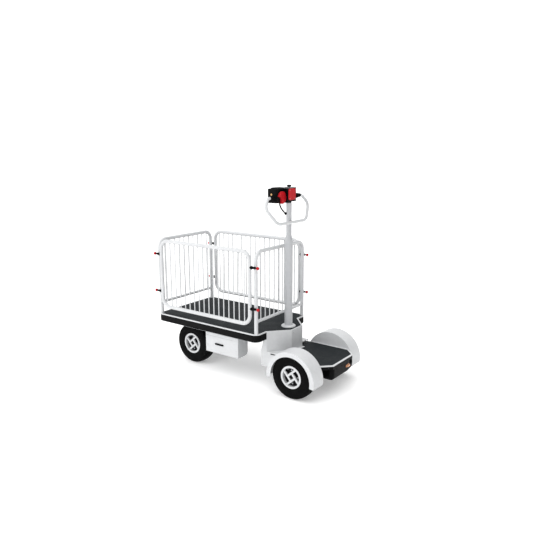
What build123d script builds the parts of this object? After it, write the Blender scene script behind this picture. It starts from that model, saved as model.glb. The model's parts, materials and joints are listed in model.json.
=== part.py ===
from build123d import *
import os
from math import cos, radians, sin

# Stand-on electric cart: a flat load deck with a barred fence, a steering column on the
# deck's nose and a low standing platform behind it, between two fendered drive wheels.
# Millimetres, +X forward, +Y to the operator's left, +Z up. The floor is z = 0, the
# midline is y = 0, and x = 0 is the middle of the overall length.

# Wheels
wheel_radius = 165
tyre_width = 110
tyre_crown_width = 62
tyre_shoulder_drop = 14
tyre_shoulder_inset = 3.5
tyre_bead_width = 92
bead_gap = 2.1
tyre_crown_drop = 3
rim_radius = 82.5
rim_ring_width = 14
rim_flange_height = 8.5
rim_flange_thickness = 5
spoke_width = 14
spoke_thickness = 12
spoke_recess = 4
spoke_turn = 41
spoke_count = 4
hub_square = 58
hub_radius = 30
hub_cap_radius = 11
hub_cap_length = 12
hub_web_thickness = 6
hub_web_recess = 30
hub_inner_length = 30
axle_radius = 12
fit_clearance = 0.05
seat_gap = 0.3
rear_axle_lead = 293
front_axle_inset = 249
rear_track = 550
front_track = 290

# Deck
deck_length = 1010
deck_width = 650
deck_corner = 50
bumper_depth = 58
bumper_wall = 12
trim_width = 11
trim_height = 7
mat_thickness = 4
plate_thickness = 3
frame_wall = 3
lip_width = 30
lip_inset = 4
rail_width = 34
rail_spread = 250
cross_rail_places_share = (-0.40, -0.13, 0.13, 0.40)
nose_length = 130
nose_tip_width = 144

# Standing platform
platform_back = 525
platform_rise = 80
platform_tail_width = 282
platform_chamfer_length = 75
platform_rail = 34
platform_edge = 24
riser_width = 44
riser_inset = 44.5
riser_forward = 135
valance_side_gap = 17
valance_depth = 96
valance_length = 110
valance_inset = 12
valance_corner = 30
lamp_length = 58
lamp_height = 26
lamp_depth = 11
lamp_inset = 43
lamp_drop = 41.4
lamp_taper = 30

# Nose cover
cover_thickness = 3
cover_side_gap = 2.5
cover_front = 51
cover_skirt = 103
cover_shelf_rise = 13
cover_waist_drop = 75
cover_waist = 32
cover_foot = 22
cover_tail = 96
slot_length = 60
slot_height = 9

# Fenders
fender_clearance = 32
fender_lip_depth = 34
fender_side_gap = 6
fender_thickness = 2
fender_rise = -15
fender_back_angle = 189
fender_front_angle = -5
fender_wall_drop = 29
fender_shift = 4

# Rear axle
axle_beam_radius = 22
drive_radius = 44
drive_length = 96
motor_radius = 46
motor_length = 150
motor_drop = 13
stub_length = 22
drive_chamfer = 12
bracket_width = 30

# Front bogie
turntable_radius = 50
turntable_thickness = 10
turntable_disc_height = 10.2
pivot_pin_radius = 15
pivot_pin_length = 36
pivot_boss_radius = 30
neck_radius = 24
beam_length = 46
beam_height = 42
steer_arm = 80
steer_arm_width = 24
steer_arm_thickness = 6
link_width = 14
link_thickness = 8
link_pin_radius = 6
link_eye_radius = 13
open_eye_clearance = 1.5
tyre_headroom = 2.5

# Battery boxes
box_length = 320
box_lead = 236
box_width = 118
box_inset = 35
box_height = 172.7
box_round = 32
box_lid_groove = 2
box_lid_drop = 40
box_handle_length = 84
box_handle_height = 13
box_handle_depth = 5
box_handle_shift = 22
box_handle_rise = 75

# Fence
tube_radius = 14
fence_post_inset = 25
fence_height = 599
end_rail_rise = 91
end_corner = 66
end_bar_count = 10
end_rail_radius = 11
bar_radius = 4
side_shift = 20
side_post_gap = 40
side_rail_rise = 69
side_corner = 70
side_bar_count = 17
latch_rise = 120
latch_drop = 110
latch_reach = 40
latch_knob_length = 15
latch_knob_radius = 11
latch_knob_round = 4
latch_sleeve_radius = 9
latch_sleeve_length = 20
latch_pin_radius = 5
latch_pin_depth = 12
latch_free_gap = 2
socket_radius = 12
socket_length = 9

# Steering column and head
column_lead = 50
column_radius = 30
column_top_radius = 20
column_height = 923
column_neck_length = 234
column_taper_length = 35
column_bearing_radius = 44
flange_radius = 54
flange_height = 13
flange_collar = 38
flange_rim = 4
flange_crown_share = 0.66
loop_tube_radius = 11
loop_drop = 138
loop_tilt = 20
loop_rise = 191
loop_bottom_half = 181
loop_widest_half = 274
loop_widest_rise = 122
loop_top_half = 214
loop_top_corner = 42
loop_side_corner = 46
loop_bottom_corner = 40
loop_weld_gap = 0.3
head_width = 254
head_depth = 80
head_height = 100
head_gap = 3
head_corner = 9
head_cap_height = 7
head_cap_width = 92
head_cap_offset = 62
head_cap_taper = 25
clamp_width = 44
clamp_back = 6
grip_length = 62
grip_radius = 21
grip_end_radius = 14
switch_width = 86
switch_height = 88
switch_depth = 24
switch_lift = 12
switch_corner = 7
paddle_depth = 16
paddle_radius = 44
paddle_hollow_radius = 30
paddle_centre = 70
paddle_lift = 37
paddle_hollow_shift = 40
paddle_hollow_drop = 22
stop_stem_radius = 5
stop_stem_length = 8
stop_radius = 16
stop_height = 17
stop_skirt_share = 0.75
lock_radius = 9
lock_length = 3
lock_drop = 40
lock_place = 42
cable_radius = 4
cable_route = (
    (48, 48, 2.7),
    (48, 48, -18),
    (41, 36, -48),
    (27, 24, -70),
    (12, 13, -84),
)
cable_bend = 40

# Sizes and places worked out from the sizes above
half_deck = deck_length / 2
fence_post_place = half_deck - fence_post_inset
fence_post_spread = deck_width - 2 * fence_post_inset
latch_tip = fence_post_place + latch_reach
platform_reach = half_deck + platform_back
deck_x = (platform_reach - latch_tip) / 2
nose_x = deck_x - half_deck
nose_tip_x = nose_x - nose_length
platform_tail_x = deck_x - platform_reach
cover_tail_x = nose_x - cover_tail
platform_front_x = cover_tail_x - seat_gap
column_x = nose_x - column_lead
rear_axle_x = nose_x - rear_axle_lead
front_axle_x = deck_x + half_deck - front_axle_inset
tyre_reach = tyre_width / 2 + fender_side_gap + fender_thickness
fender_inner = rear_track / 2 - tyre_reach
fender_outer = rear_track / 2 + tyre_reach
fender_radius = wheel_radius + fender_clearance
fender_lip_radius = fender_radius - fender_lip_depth
platform_width = 2 * (fender_inner - seat_gap)
nose_half = fender_inner - cover_side_gap
nose_base_width = 2 * nose_half
riser_spread = nose_base_width - 2 * riser_inset
valance_width = riser_spread - platform_rail - 2 * valance_side_gap
tyre_top = 2 * wheel_radius
arm_low = tyre_top + tyre_headroom
arm_high = arm_low + steer_arm_thickness
turntable_low = arm_low + turntable_disc_height + seat_gap
frame_low = turntable_low + turntable_thickness
deck_top = frame_low + bumper_depth
plate_top = deck_top - mat_thickness
platform_top = wheel_radius + platform_rise
cover_low = platform_top - cover_skirt
cover_shelf = platform_top + cover_shelf_rise
fender_wall_low = platform_top - fender_wall_drop
motor_level = wheel_radius - motor_drop
tyre_shoulder_radius = wheel_radius - tyre_shoulder_drop
tyre_shoulder_width = tyre_width - 2 * tyre_shoulder_inset
rim_ring_inner_radius = rim_radius - rim_ring_width
rim_barrel_radius = rim_radius - rim_flange_height
rim_width = tyre_bead_width + 2 * (rim_flange_thickness + bead_gap)
box_front_x = front_axle_x - box_lead
box_back_x = box_front_x - box_length
box_outer = deck_width / 2 - box_inset
box_inner = box_outer - box_width
box_high = frame_low - seat_gap
box_low = box_high - box_height
fence_top = deck_top + fence_height
end_rail_level = deck_top + end_rail_rise
side_rail_level = deck_top + side_rail_rise
side_post_place = fence_post_place - side_post_gap
side_offset = fence_post_spread / 2 + side_shift
latch_levels = (side_rail_level + latch_rise, fence_top - latch_drop)
column_top = deck_top + column_height
column_taper_high = column_top - column_neck_length
column_taper_low = column_taper_high - column_taper_length
loop_low = column_top - loop_drop
loop_corners = (loop_top_corner, loop_side_corner, loop_bottom_corner)
flange_bore = column_radius + fit_clearance
post_x = (deck_x - fence_post_place, deck_x + fence_post_place)
sides = (("left", 1), ("right", -1))
ends = (("rear", -1), ("front", 1))

os.makedirs("parts", exist_ok=True)


def deck_face(inset, nose=True):
    """Plan of the deck, drawn in by an inset, with its nose or without it."""
    with BuildSketch() as face:
        with Locations((deck_x, 0)):
            Rectangle(deck_length, deck_width)
        fillet(face.vertices(), deck_corner)
        if nose:
            Polygon(
                (nose_x + deck_corner, nose_base_width / 2),
                (nose_x, nose_base_width / 2),
                (nose_tip_x, nose_tip_width / 2),
                (nose_tip_x, -nose_tip_width / 2),
                (nose_x, -nose_base_width / 2),
                (nose_x + deck_corner, -nose_base_width / 2),
                align=None,
            )
        if inset:
            offset(amount=-inset, kind=Kind.INTERSECTION)
    return face.sketch


def platform_face(inset):
    """Plan of the standing platform, drawn in by an inset."""
    chamfer_x = platform_tail_x + platform_chamfer_length
    with BuildSketch() as face:
        Polygon(
            (platform_front_x, platform_width / 2),
            (chamfer_x, platform_width / 2),
            (platform_tail_x, platform_tail_width / 2),
            (platform_tail_x, -platform_tail_width / 2),
            (chamfer_x, -platform_width / 2),
            (platform_front_x, -platform_width / 2),
            align=None,
        )
        if inset:
            offset(amount=-inset, kind=Kind.INTERSECTION)
    return face.sketch


def box_between(low, high, mode=Mode.ADD):
    """Block from its low corner to its high corner, for use inside a part."""
    size = [b - a for a, b in zip(low, high)]
    middle = [(a + b) / 2 for a, b in zip(low, high)]
    with Locations(tuple(middle)):
        Box(*size, mode=mode)


def rod(start, end, radius, mode=Mode.ADD):
    """Round bar from one point to another, for use inside a part."""
    way = Vector(*end) - Vector(*start)
    with Locations(Plane(origin=start, z_dir=way)):
        Cylinder(radius, way.length, align=(Align.CENTER, Align.CENTER, Align.MIN), mode=mode)


# Deck: a folded tray on two long rails and four cross rails, with a boss for each pivot
with BuildPart() as deck_frame:
    with BuildSketch(Plane.XY.offset(plate_top - plate_thickness)):
        add(deck_face(trim_width + seat_gap))
    extrude(amount=plate_thickness)
    with BuildSketch(Plane.XY.offset(frame_low)):
        add(deck_face(bumper_wall + seat_gap, nose=False))
        add(deck_face(bumper_wall + seat_gap + frame_wall, nose=False), mode=Mode.SUBTRACT)
    extrude(amount=plate_top - plate_thickness - frame_low)
    with BuildSketch(Plane.XY.offset(frame_low - plate_thickness)):
        add(deck_face(lip_inset, nose=False))
        add(deck_face(lip_inset + lip_width, nose=False), mode=Mode.SUBTRACT)
    extrude(amount=plate_thickness - seat_gap)
    with BuildSketch(Plane.XY.offset(frame_low - seat_gap)):
        add(deck_face(bumper_wall + seat_gap, nose=False))
        add(deck_face(bumper_wall + lip_width / 2, nose=False), mode=Mode.SUBTRACT)
    extrude(amount=plate_thickness)
    rail_high = plate_top - plate_thickness / 2
    for name, side in sides:
        rail_y = side * rail_spread / 2
        box_between(
            (nose_x + bumper_wall + frame_wall, rail_y - rail_width / 2, frame_low),
            (deck_x + half_deck - bumper_wall - frame_wall, rail_y + rail_width / 2, rail_high),
        )
    for share in cross_rail_places_share:
        rail_x = deck_x + share * deck_length
        box_between(
            (rail_x - rail_width / 2, frame_wall + bumper_wall - deck_width / 2, frame_low),
            (rail_x + rail_width / 2, deck_width / 2 - frame_wall - bumper_wall, rail_high),
        )
    box_between(
        (column_x - column_bearing_radius, -column_bearing_radius, frame_low),
        (nose_x + rail_width, column_bearing_radius, rail_high),
    )
    box_between(
        (front_axle_x - pivot_boss_radius, -rail_spread / 2, frame_low),
        (front_axle_x + pivot_boss_radius, rail_spread / 2, rail_high),
    )
    for name, side in sides:
        slot_walls = (nose_half + seat_gap, nose_half - cover_thickness - seat_gap)
        slot_y = sorted(side * wall for wall in slot_walls)
        box_between(
            (nose_x - bumper_wall, slot_y[0], frame_low - 2 * plate_thickness),
            (nose_x + cover_front + seat_gap, slot_y[1], plate_top - plate_thickness),
            Mode.SUBTRACT,
        )
    rod((front_axle_x, 0, turntable_low), (front_axle_x, 0, frame_low + plate_thickness), turntable_radius)
    pin_clear = pivot_pin_radius + fit_clearance
    pin_roof = turntable_low + pivot_pin_length + pin_clear / 2
    rod((front_axle_x, 0, turntable_low), (front_axle_x, 0, pin_roof), pin_clear, Mode.SUBTRACT)
    rod((column_x, 0, turntable_low), (column_x, 0, deck_top), column_radius + fit_clearance, Mode.SUBTRACT)
deck_frame.part.label = "deck_frame"
export_step(deck_frame.part, "parts/deck_frame.step")

with BuildPart() as deck_mat:
    with BuildSketch(Plane.XY.offset(plate_top)):
        add(deck_face(trim_width + seat_gap))
    extrude(amount=mat_thickness)
    for x in post_x:
        for name, side in sides:
            rod(
                (x, side * fence_post_spread / 2, plate_top - mat_thickness),
                (x, side * fence_post_spread / 2, deck_top + mat_thickness),
                tube_radius + seat_gap,
                Mode.SUBTRACT,
            )
    rod(
        (column_x, 0, plate_top - mat_thickness),
        (column_x, 0, deck_top + mat_thickness),
        column_radius + mat_thickness,
        Mode.SUBTRACT,
    )
deck_mat.part.label = "deck_mat"
export_step(deck_mat.part, "parts/deck_mat.step")

# White edging round the deck and its nose, and round the platform
with BuildPart() as edge_trim:
    with BuildSketch(Plane.XY.offset(deck_top - trim_height)):
        add(deck_face(0))
        add(deck_face(trim_width), mode=Mode.SUBTRACT)
    extrude(amount=trim_height)
    with BuildSketch(Plane.XY.offset(platform_top - trim_height)):
        add(platform_face(0))
        add(platform_face(trim_width), mode=Mode.SUBTRACT)
    extrude(amount=trim_height)
    cover_reach = nose_tip_x - seat_gap
    box_between(
        (cover_reach, -platform_width, platform_top - 2 * trim_height),
        (platform_front_x + platform_width, platform_width, platform_top + trim_height),
        Mode.SUBTRACT,
    )
    for x in post_x:
        for name, side in sides:
            post_y = side * fence_post_spread / 2
            rod(
                (x, post_y, frame_low),
                (x, post_y, deck_top + trim_height),
                tube_radius + seat_gap,
                Mode.SUBTRACT,
            )
edge_trim.part.label = "edge_trim"
export_step(edge_trim.part, "parts/edge_trim.step")

# Black rubber edge below the white edging, open where the nose stands
with BuildPart() as bumper:
    with BuildSketch(Plane.XY.offset(frame_low)):
        add(deck_face(0, nose=False))
        add(deck_face(bumper_wall, nose=False), mode=Mode.SUBTRACT)
    extrude(amount=bumper_depth - trim_height - seat_gap)
    box_between(
        (nose_x - bumper_wall, -nose_base_width / 2 - seat_gap, frame_low - plate_thickness),
        (nose_x + deck_corner, nose_base_width / 2 + seat_gap, deck_top),
        Mode.SUBTRACT,
    )
bumper.part.label = "bumper"
export_step(bumper.part, "parts/bumper.step")

# Nose cover: a folded sheet that follows the nose down to the platform, with side
# plates that run forward under the deck and back to the fenders, and a foot flange
cover_top = deck_top - trim_height - seat_gap
cover_front_x = nose_x + cover_front
platform_seat = platform_top + seat_gap
facet_slope = (nose_base_width - nose_tip_width) / 2 / nose_length
facet_y = nose_tip_width / 2 + facet_slope * (cover_tail_x - nose_tip_x)
with BuildPart() as nose_cover:
    with BuildSketch(Plane.XY.offset(platform_seat)):
        with BuildLine():
            Polyline(
                (nose_x, nose_half),
                (nose_tip_x, nose_tip_width / 2),
                (nose_tip_x, -nose_tip_width / 2),
                (nose_x, -nose_half),
                (nose_x + cover_thickness, -nose_half),
                (nose_x + cover_thickness, -nose_half + cover_thickness),
                (nose_tip_x + cover_thickness, -nose_tip_width / 2 + cover_thickness),
                (nose_tip_x + cover_thickness, nose_tip_width / 2 - cover_thickness),
                (nose_x + cover_thickness, nose_half - cover_thickness),
                (nose_x + cover_thickness, nose_half),
                close=True,
            )
        make_face()
    extrude(amount=cover_top - platform_seat)
    for name, side in sides:
        outer = side * nose_half
        with BuildSketch(Plane(origin=(0, outer, 0), x_dir=(1, 0, 0), z_dir=(0, side, 0))):
            up = -side
            with BuildLine():
                Polyline(
                    (nose_x, up * cover_top),
                    (nose_x, up * cover_shelf),
                    (cover_tail_x, up * cover_shelf),
                    (cover_tail_x, up * cover_low),
                    (cover_front_x, up * cover_low),
                    (cover_front_x, up * cover_shelf),
                    (nose_x + cover_waist, up * (cover_top - cover_waist_drop)),
                    (nose_x + cover_thickness, up * (cover_top - cover_thickness)),
                    (nose_x + cover_thickness, up * cover_top),
                    close=True,
                )
            make_face()
        extrude(amount=-cover_thickness)
        slot_x = cover_tail_x + slot_length / 2 + cover_thickness
        slot_z = cover_shelf - cover_thickness - slot_height
        with BuildSketch(Plane.XY.offset(cover_shelf - cover_thickness)):
            Polygon(
                (nose_x + cover_thickness / 2, outer),
                (cover_tail_x, outer),
                (cover_tail_x, side * (facet_y - cover_thickness)),
                (nose_x + cover_thickness / 2, side * (nose_half - cover_thickness)),
                align=None,
            )
        extrude(amount=cover_thickness)
        with Locations((slot_x, outer, slot_z)):
            Box(slot_length, platform_edge, slot_height, mode=Mode.SUBTRACT)
    box_between(
        (nose_tip_x - cover_foot, -nose_tip_width / 2, platform_seat),
        (nose_tip_x + cover_thickness, nose_tip_width / 2, platform_seat + cover_thickness),
    )
nose_cover.part.label = "nose_cover"
export_step(nose_cover.part, "parts/nose_cover.step")

# Standing platform: plate, rails, and two risers inside the cover up to the deck
platform_plate_top = platform_top - mat_thickness
platform_rail_low = platform_plate_top - platform_rail
with BuildPart() as platform_frame:
    with BuildSketch(Plane.XY.offset(platform_plate_top - plate_thickness)):
        add(platform_face(trim_width + seat_gap))
    extrude(amount=plate_thickness)
    with BuildSketch(Plane.XY.offset(platform_top - trim_height - seat_gap - platform_edge)):
        add(platform_face(cover_thickness))
        add(platform_face(trim_width + cover_thickness), mode=Mode.SUBTRACT)
    extrude(amount=platform_edge)
    rail_top = platform_plate_top - plate_thickness / 2
    riser_back = platform_front_x + riser_forward - riser_width
    riser_front = platform_front_x + riser_forward
    for name, side in sides:
        rail_y = side * riser_spread / 2
        box_between(
            (platform_tail_x + platform_chamfer_length, rail_y - platform_rail / 2, platform_rail_low),
            (riser_front, rail_y + platform_rail / 2, rail_top),
        )
        box_between(
            (riser_back, rail_y - riser_width / 2, platform_rail_low),
            (riser_front, rail_y + riser_width / 2, frame_low - plate_thickness - seat_gap),
        )
        seat_y = side * riser_spread / 2
        bracket_low = wheel_radius + axle_beam_radius / 2
        box_between(
            (rear_axle_x - bracket_width / 2, seat_y - bracket_width / 2, bracket_low),
            (rear_axle_x + bracket_width / 2, seat_y + bracket_width / 2, rail_top),
        )
    beam_clear = axle_beam_radius + seat_gap
    beam_reach = riser_spread
    rod(
        (rear_axle_x, -beam_reach, wheel_radius),
        (rear_axle_x, beam_reach, wheel_radius),
        beam_clear,
        Mode.SUBTRACT,
    )
    box_between(
        (riser_back, -riser_spread / 2, platform_rail_low),
        (riser_front, riser_spread / 2, rail_top),
    )
platform_frame.part.label = "platform_frame"
export_step(platform_frame.part, "parts/platform_frame.step")

foot_half = nose_tip_width / 2 + seat_gap
with BuildPart() as platform_mat:
    with BuildSketch(Plane.XY.offset(platform_plate_top)):
        add(platform_face(trim_width + seat_gap))
    extrude(amount=mat_thickness)
    box_between(
        (nose_tip_x - cover_foot - seat_gap, -foot_half, platform_plate_top - mat_thickness),
        (platform_front_x + platform_width, foot_half, platform_top + mat_thickness),
        Mode.SUBTRACT,
    )
    with BuildSketch(Plane.XY.offset(platform_plate_top)):
        add(deck_face(-seat_gap))
    extrude(amount=mat_thickness, mode=Mode.SUBTRACT)
platform_mat.part.label = "platform_mat"
export_step(platform_mat.part, "parts/platform_mat.step")

# Black tail housing under the platform's rear edge, with its lamp on the right
valance_high = platform_top - trim_height - platform_edge - 2 * seat_gap
valance_x = platform_tail_x + valance_inset
with BuildPart() as tail_housing:
    with BuildSketch(Plane.XY.offset(valance_high - valance_depth)):
        with Locations((valance_x + valance_length / 2, 0)):
            Rectangle(valance_length, valance_width)
    extrude(amount=valance_depth)
    fillet(tail_housing.edges().filter_by(Axis.Z).group_by(Axis.X)[0], valance_corner)
    fillet(tail_housing.faces().sort_by(Axis.Z)[0].edges().filter_by(Axis.X), valance_corner)
tail_housing.part.label = "tail_housing"
export_step(tail_housing.part, "parts/tail_housing.step")

with BuildPart() as tail_lamp:
    lamp_spot = (valance_x - seat_gap, lamp_inset - valance_width / 2, valance_high - lamp_drop)
    lamp_plane = Plane(origin=lamp_spot, x_dir=(0, 1, 0), z_dir=(-1, 0, 0))
    with BuildSketch(lamp_plane):
        Ellipse(lamp_length / 2, lamp_height / 2)
    extrude(amount=lamp_depth, taper=lamp_taper)
tail_lamp.part.label = "tail_lamp"
export_step(tail_lamp.part, "parts/tail_lamp.step")

# Fenders: a rolled band over each drive wheel, with an outer lip and a closed inner wall
def fender_sector(inner, outer):
    """Band between two radii, from the low front tab over the top to the tail."""
    with BuildSketch() as sector:
        Circle(outer)
        Circle(inner, mode=Mode.SUBTRACT)
        Polygon(
            (0, 0),
            (outer * 2 * cos(radians(fender_front_angle)), outer * 2 * sin(radians(fender_front_angle))),
            (outer * 2, -outer * 2),
            (-outer * 2, -outer * 2),
            (outer * 2 * cos(radians(fender_back_angle)), outer * 2 * sin(radians(fender_back_angle))),
            align=None,
            mode=Mode.SUBTRACT,
        )
    return sector.sketch


def fender(side):
    """One fender, on the left for side 1 and on the right for side -1."""
    centre = (rear_axle_x + fender_shift, side * fender_inner, wheel_radius + fender_rise)
    base = Plane(origin=centre, x_dir=(1, 0, 0), z_dir=(0, -1, 0))
    lip = base.offset(-side * (fender_outer - fender_inner - fender_thickness))
    with BuildPart() as piece:
        with BuildSketch(base):
            add(fender_sector(fender_radius - fender_thickness, fender_radius))
        extrude(amount=-side * (fender_outer - fender_inner))
        with BuildSketch(lip):
            add(fender_sector(fender_lip_radius, fender_radius))
        extrude(amount=-side * fender_thickness)
        with BuildSketch(base):
            Circle(fender_radius)
            wall_low = fender_wall_low - wheel_radius - fender_rise
            with Locations((0, wall_low - fender_radius)):
                Rectangle(2 * fender_radius, 2 * fender_radius, mode=Mode.SUBTRACT)
        extrude(amount=-side * fender_thickness)
    return piece.part


for name, side in sides:
    piece = fender(side)
    piece.label = "fender_" + name
    export_step(piece, "parts/fender_" + name + ".step")

# Rear axle: beam and stubs on the wheels' line, with the drive case and its motor
with BuildPart() as rear_axle:
    rear_hub_face = rear_track / 2 - hub_inner_length - seat_gap
    rod(
        (rear_axle_x, -rear_hub_face, wheel_radius),
        (rear_axle_x, rear_hub_face, wheel_radius),
        axle_beam_radius,
    )
    stub_reach = rear_track / 2 + stub_length
    rod((rear_axle_x, -stub_reach, wheel_radius), (rear_axle_x, stub_reach, wheel_radius), axle_radius)
    rod(
        (rear_axle_x, -drive_length / 2, wheel_radius),
        (rear_axle_x, drive_length / 2, wheel_radius),
        drive_radius,
    )
    chamfer(rear_axle.edges().filter_by(GeomType.CIRCLE).group_by(Edge.length)[-1], drive_chamfer)
    rod(
        (rear_axle_x, 0, motor_level),
        (rear_axle_x + motor_length, 0, motor_level),
        motor_radius,
    )
rear_axle.part.label = "rear_axle"
export_step(rear_axle.part, "parts/rear_axle.step")

# Battery boxes: hung under the deck, with a lid groove and one long edge rounded
def battery_box(side):
    """One battery box, on the left for side 1 and on the right for side -1."""
    inner = side * box_inner
    outer = side * box_outer
    rounded_edge = (inner, box_low, 0) if side > 0 else (outer, box_high, 0)
    with BuildPart() as piece:
        with BuildSketch(Plane(origin=(box_back_x, 0, 0), x_dir=(0, 1, 0), z_dir=(1, 0, 0))) as section:
            Polygon((inner, box_low), (outer, box_low), (outer, box_high), (inner, box_high), align=None)
            fillet(section.vertices().sort_by_distance(rounded_edge)[0], box_round)
        extrude(amount=box_length)
        groove_level = box_high - box_lid_drop
        groove_side = (outer - side * box_lid_groove, outer + side * box_lid_groove)
        box_between(
            (box_back_x - box_lid_groove, min(groove_side), groove_level),
            (box_back_x + box_length + box_lid_groove, max(groove_side), groove_level + box_lid_groove),
            Mode.SUBTRACT,
        )
    return piece.part


for name, side in sides:
    piece = battery_box(side)
    piece.label = "battery_box_" + name
    export_step(piece, "parts/battery_box_" + name + ".step")

box_middle_x = (box_back_x + box_front_x) / 2
with BuildPart() as box_handles:
    for name, side in sides:
        face_y = side * (box_outer + seat_gap)
        handle_spot = (box_middle_x + box_handle_shift, face_y, box_low + box_handle_rise)
        handle_plane = Plane(origin=handle_spot, x_dir=(1, 0, 0), z_dir=(0, side, 0))
        with BuildSketch(handle_plane):
            SlotOverall(box_handle_length, box_handle_height)
        extrude(amount=box_handle_depth)
box_handles.part.label = "box_handles"
export_step(box_handles.part, "parts/box_handles.step")

# Fence ends: a bent tube that stands in the deck, a low cross tube and round bars
def fence_end(x):
    """One end of the fence, across the deck at x."""
    half = fence_post_spread / 2
    with BuildPart() as piece:
        with BuildLine() as route:
            FilletPolyline(
                (x, half, plate_top),
                (x, half, fence_top),
                (x, -half, fence_top),
                (x, -half, plate_top),
                radius=end_corner,
            )
        with BuildSketch(Plane(origin=(x, half, plate_top), z_dir=(0, 0, 1))):
            Circle(tube_radius)
        sweep(path=route.line)
        rod((x, -half, end_rail_level), (x, half, end_rail_level), end_rail_radius)
        pitch = fence_post_spread / (end_bar_count + 1)
        for index in range(end_bar_count):
            bar_y = (index + 1) * pitch - half
            rod((x, bar_y, end_rail_level), (x, bar_y, fence_top), bar_radius)
    return piece.part


for name, end in ends:
    piece = fence_end(deck_x + end * fence_post_place)
    piece.label = "fence_" + name
    export_step(piece, "parts/fence_" + name + ".step")

# Side panels: closed frames of bent tube with round bars, hinged on their low pins
socket_face = side_post_place + tube_radius + socket_length


def side_panel(y):
    """One drop side of the fence, along the deck at y."""
    half = side_post_place
    with BuildPart() as piece:
        for turn in (1, -1):
            with BuildLine() as route:
                FilletPolyline(
                    (deck_x, y, fence_top),
                    (deck_x + turn * half, y, fence_top),
                    (deck_x + turn * half, y, side_rail_level),
                    (deck_x, y, side_rail_level),
                    radius=side_corner,
                )
            with BuildSketch(Plane(origin=(deck_x, y, fence_top), z_dir=(turn, 0, 0))):
                Circle(tube_radius)
            sweep(path=route.line)
        pitch = 2 * half / (side_bar_count + 1)
        for index in range(side_bar_count):
            bar_x = deck_x - half + (index + 1) * pitch
            rod((bar_x, y, side_rail_level), (bar_x, y, fence_top), bar_radius)
        for turn in (1, -1):
            for level in latch_levels:
                rod(
                    (deck_x + turn * (half + tube_radius - latch_pin_depth), y, level),
                    (deck_x + turn * socket_face, y, level),
                    latch_pin_radius + fit_clearance,
                    Mode.SUBTRACT,
                )
    return piece.part


def panel_sockets(y):
    """The four black sockets on a side panel's end tubes, bored for the pins."""
    with BuildPart() as piece:
        for turn in (1, -1):
            for level in latch_levels:
                rod(
                    (deck_x + turn * (side_post_place + tube_radius / 2), y, level),
                    (deck_x + turn * socket_face, y, level),
                    socket_radius,
                )
                rod(
                    (deck_x + turn * side_post_place, y, level),
                    (deck_x + turn * (socket_face + socket_length), y, level),
                    latch_pin_radius + fit_clearance,
                    Mode.SUBTRACT,
                )
            post_clear = tube_radius + seat_gap
            rod(
                (deck_x + turn * side_post_place, y, side_rail_level),
                (deck_x + turn * side_post_place, y, fence_top),
                post_clear,
                Mode.SUBTRACT,
            )
    return piece.part


for name, side in sides:
    panel = side_panel(side * side_offset)
    panel.label = "side_panel_" + name
    export_step(panel, "parts/side_panel_" + name + ".step")
    sockets = panel_sockets(side * side_offset)
    sockets.label = "panel_sockets_" + name
    export_step(sockets, "parts/panel_sockets_" + name + ".step")

# Spring latches on the four posts: sleeve and pin in black, with a red pull knob. The
# low pins carry the panel as its hinge; the high ones end just short of their sockets.
sleeve_start = fence_post_place - latch_sleeve_length / 2
knob_start = fence_post_place + latch_reach - latch_knob_length
with BuildPart() as latches:
    for turn in (1, -1):
        for name, side in sides:
            for level in latch_levels:
                y = side * side_offset
                rod(
                    (deck_x + turn * sleeve_start, y, level),
                    (deck_x + turn * (sleeve_start + latch_sleeve_length), y, level),
                    latch_sleeve_radius,
                )
                if level == latch_levels[0]:
                    pin_end = side_post_place + tube_radius - latch_pin_depth + seat_gap
                else:
                    pin_end = socket_face + latch_free_gap
                rod(
                    (deck_x + turn * pin_end, y, level),
                    (deck_x + turn * (knob_start - seat_gap), y, level),
                    latch_pin_radius,
                )
            rod(
                (deck_x + turn * fence_post_place, side * fence_post_spread / 2, deck_top),
                (deck_x + turn * fence_post_place, side * fence_post_spread / 2, fence_top),
                tube_radius + seat_gap,
                Mode.SUBTRACT,
            )
latches.part.label = "latches"
export_step(latches.part, "parts/latches.step")

with BuildPart() as latch_knobs:
    for turn in (1, -1):
        for name, side in sides:
            for level in latch_levels:
                rod(
                    (deck_x + turn * knob_start, side * side_offset, level),
                    (deck_x + turn * latch_tip, side * side_offset, level),
                    latch_knob_radius,
                )
    fillet(latch_knobs.edges().filter_by(GeomType.CIRCLE), latch_knob_round)
latch_knobs.part.label = "latch_knobs"
export_step(latch_knobs.part, "parts/latch_knobs.step")

# Column: one turned tube with a taper, its low arm and the arm's pin
with BuildPart() as column:
    with BuildSketch(Plane(origin=(column_x, 0, 0), x_dir=(1, 0, 0), z_dir=(0, -1, 0))):
        Polygon(
            (0, arm_low),
            (column_radius, arm_low),
            (column_radius, column_taper_low),
            (column_top_radius, column_taper_high),
            (column_top_radius, column_top),
            (0, column_top),
            align=None,
        )
    revolve(axis=Axis((column_x, 0, 0), (0, 0, 1)))
    box_between(
        (column_x - steer_arm_width / 2, 0, arm_low),
        (column_x + steer_arm_width / 2, steer_arm, arm_high),
    )
    rod((column_x, steer_arm, arm_low), (column_x, steer_arm, arm_high), steer_arm_width / 2)
    rod(
        (column_x, steer_arm, arm_low),
        (column_x, steer_arm, arm_high + link_thickness + seat_gap),
        link_pin_radius,
    )
column.part.label = "column"
export_step(column.part, "parts/column.step")

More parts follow.
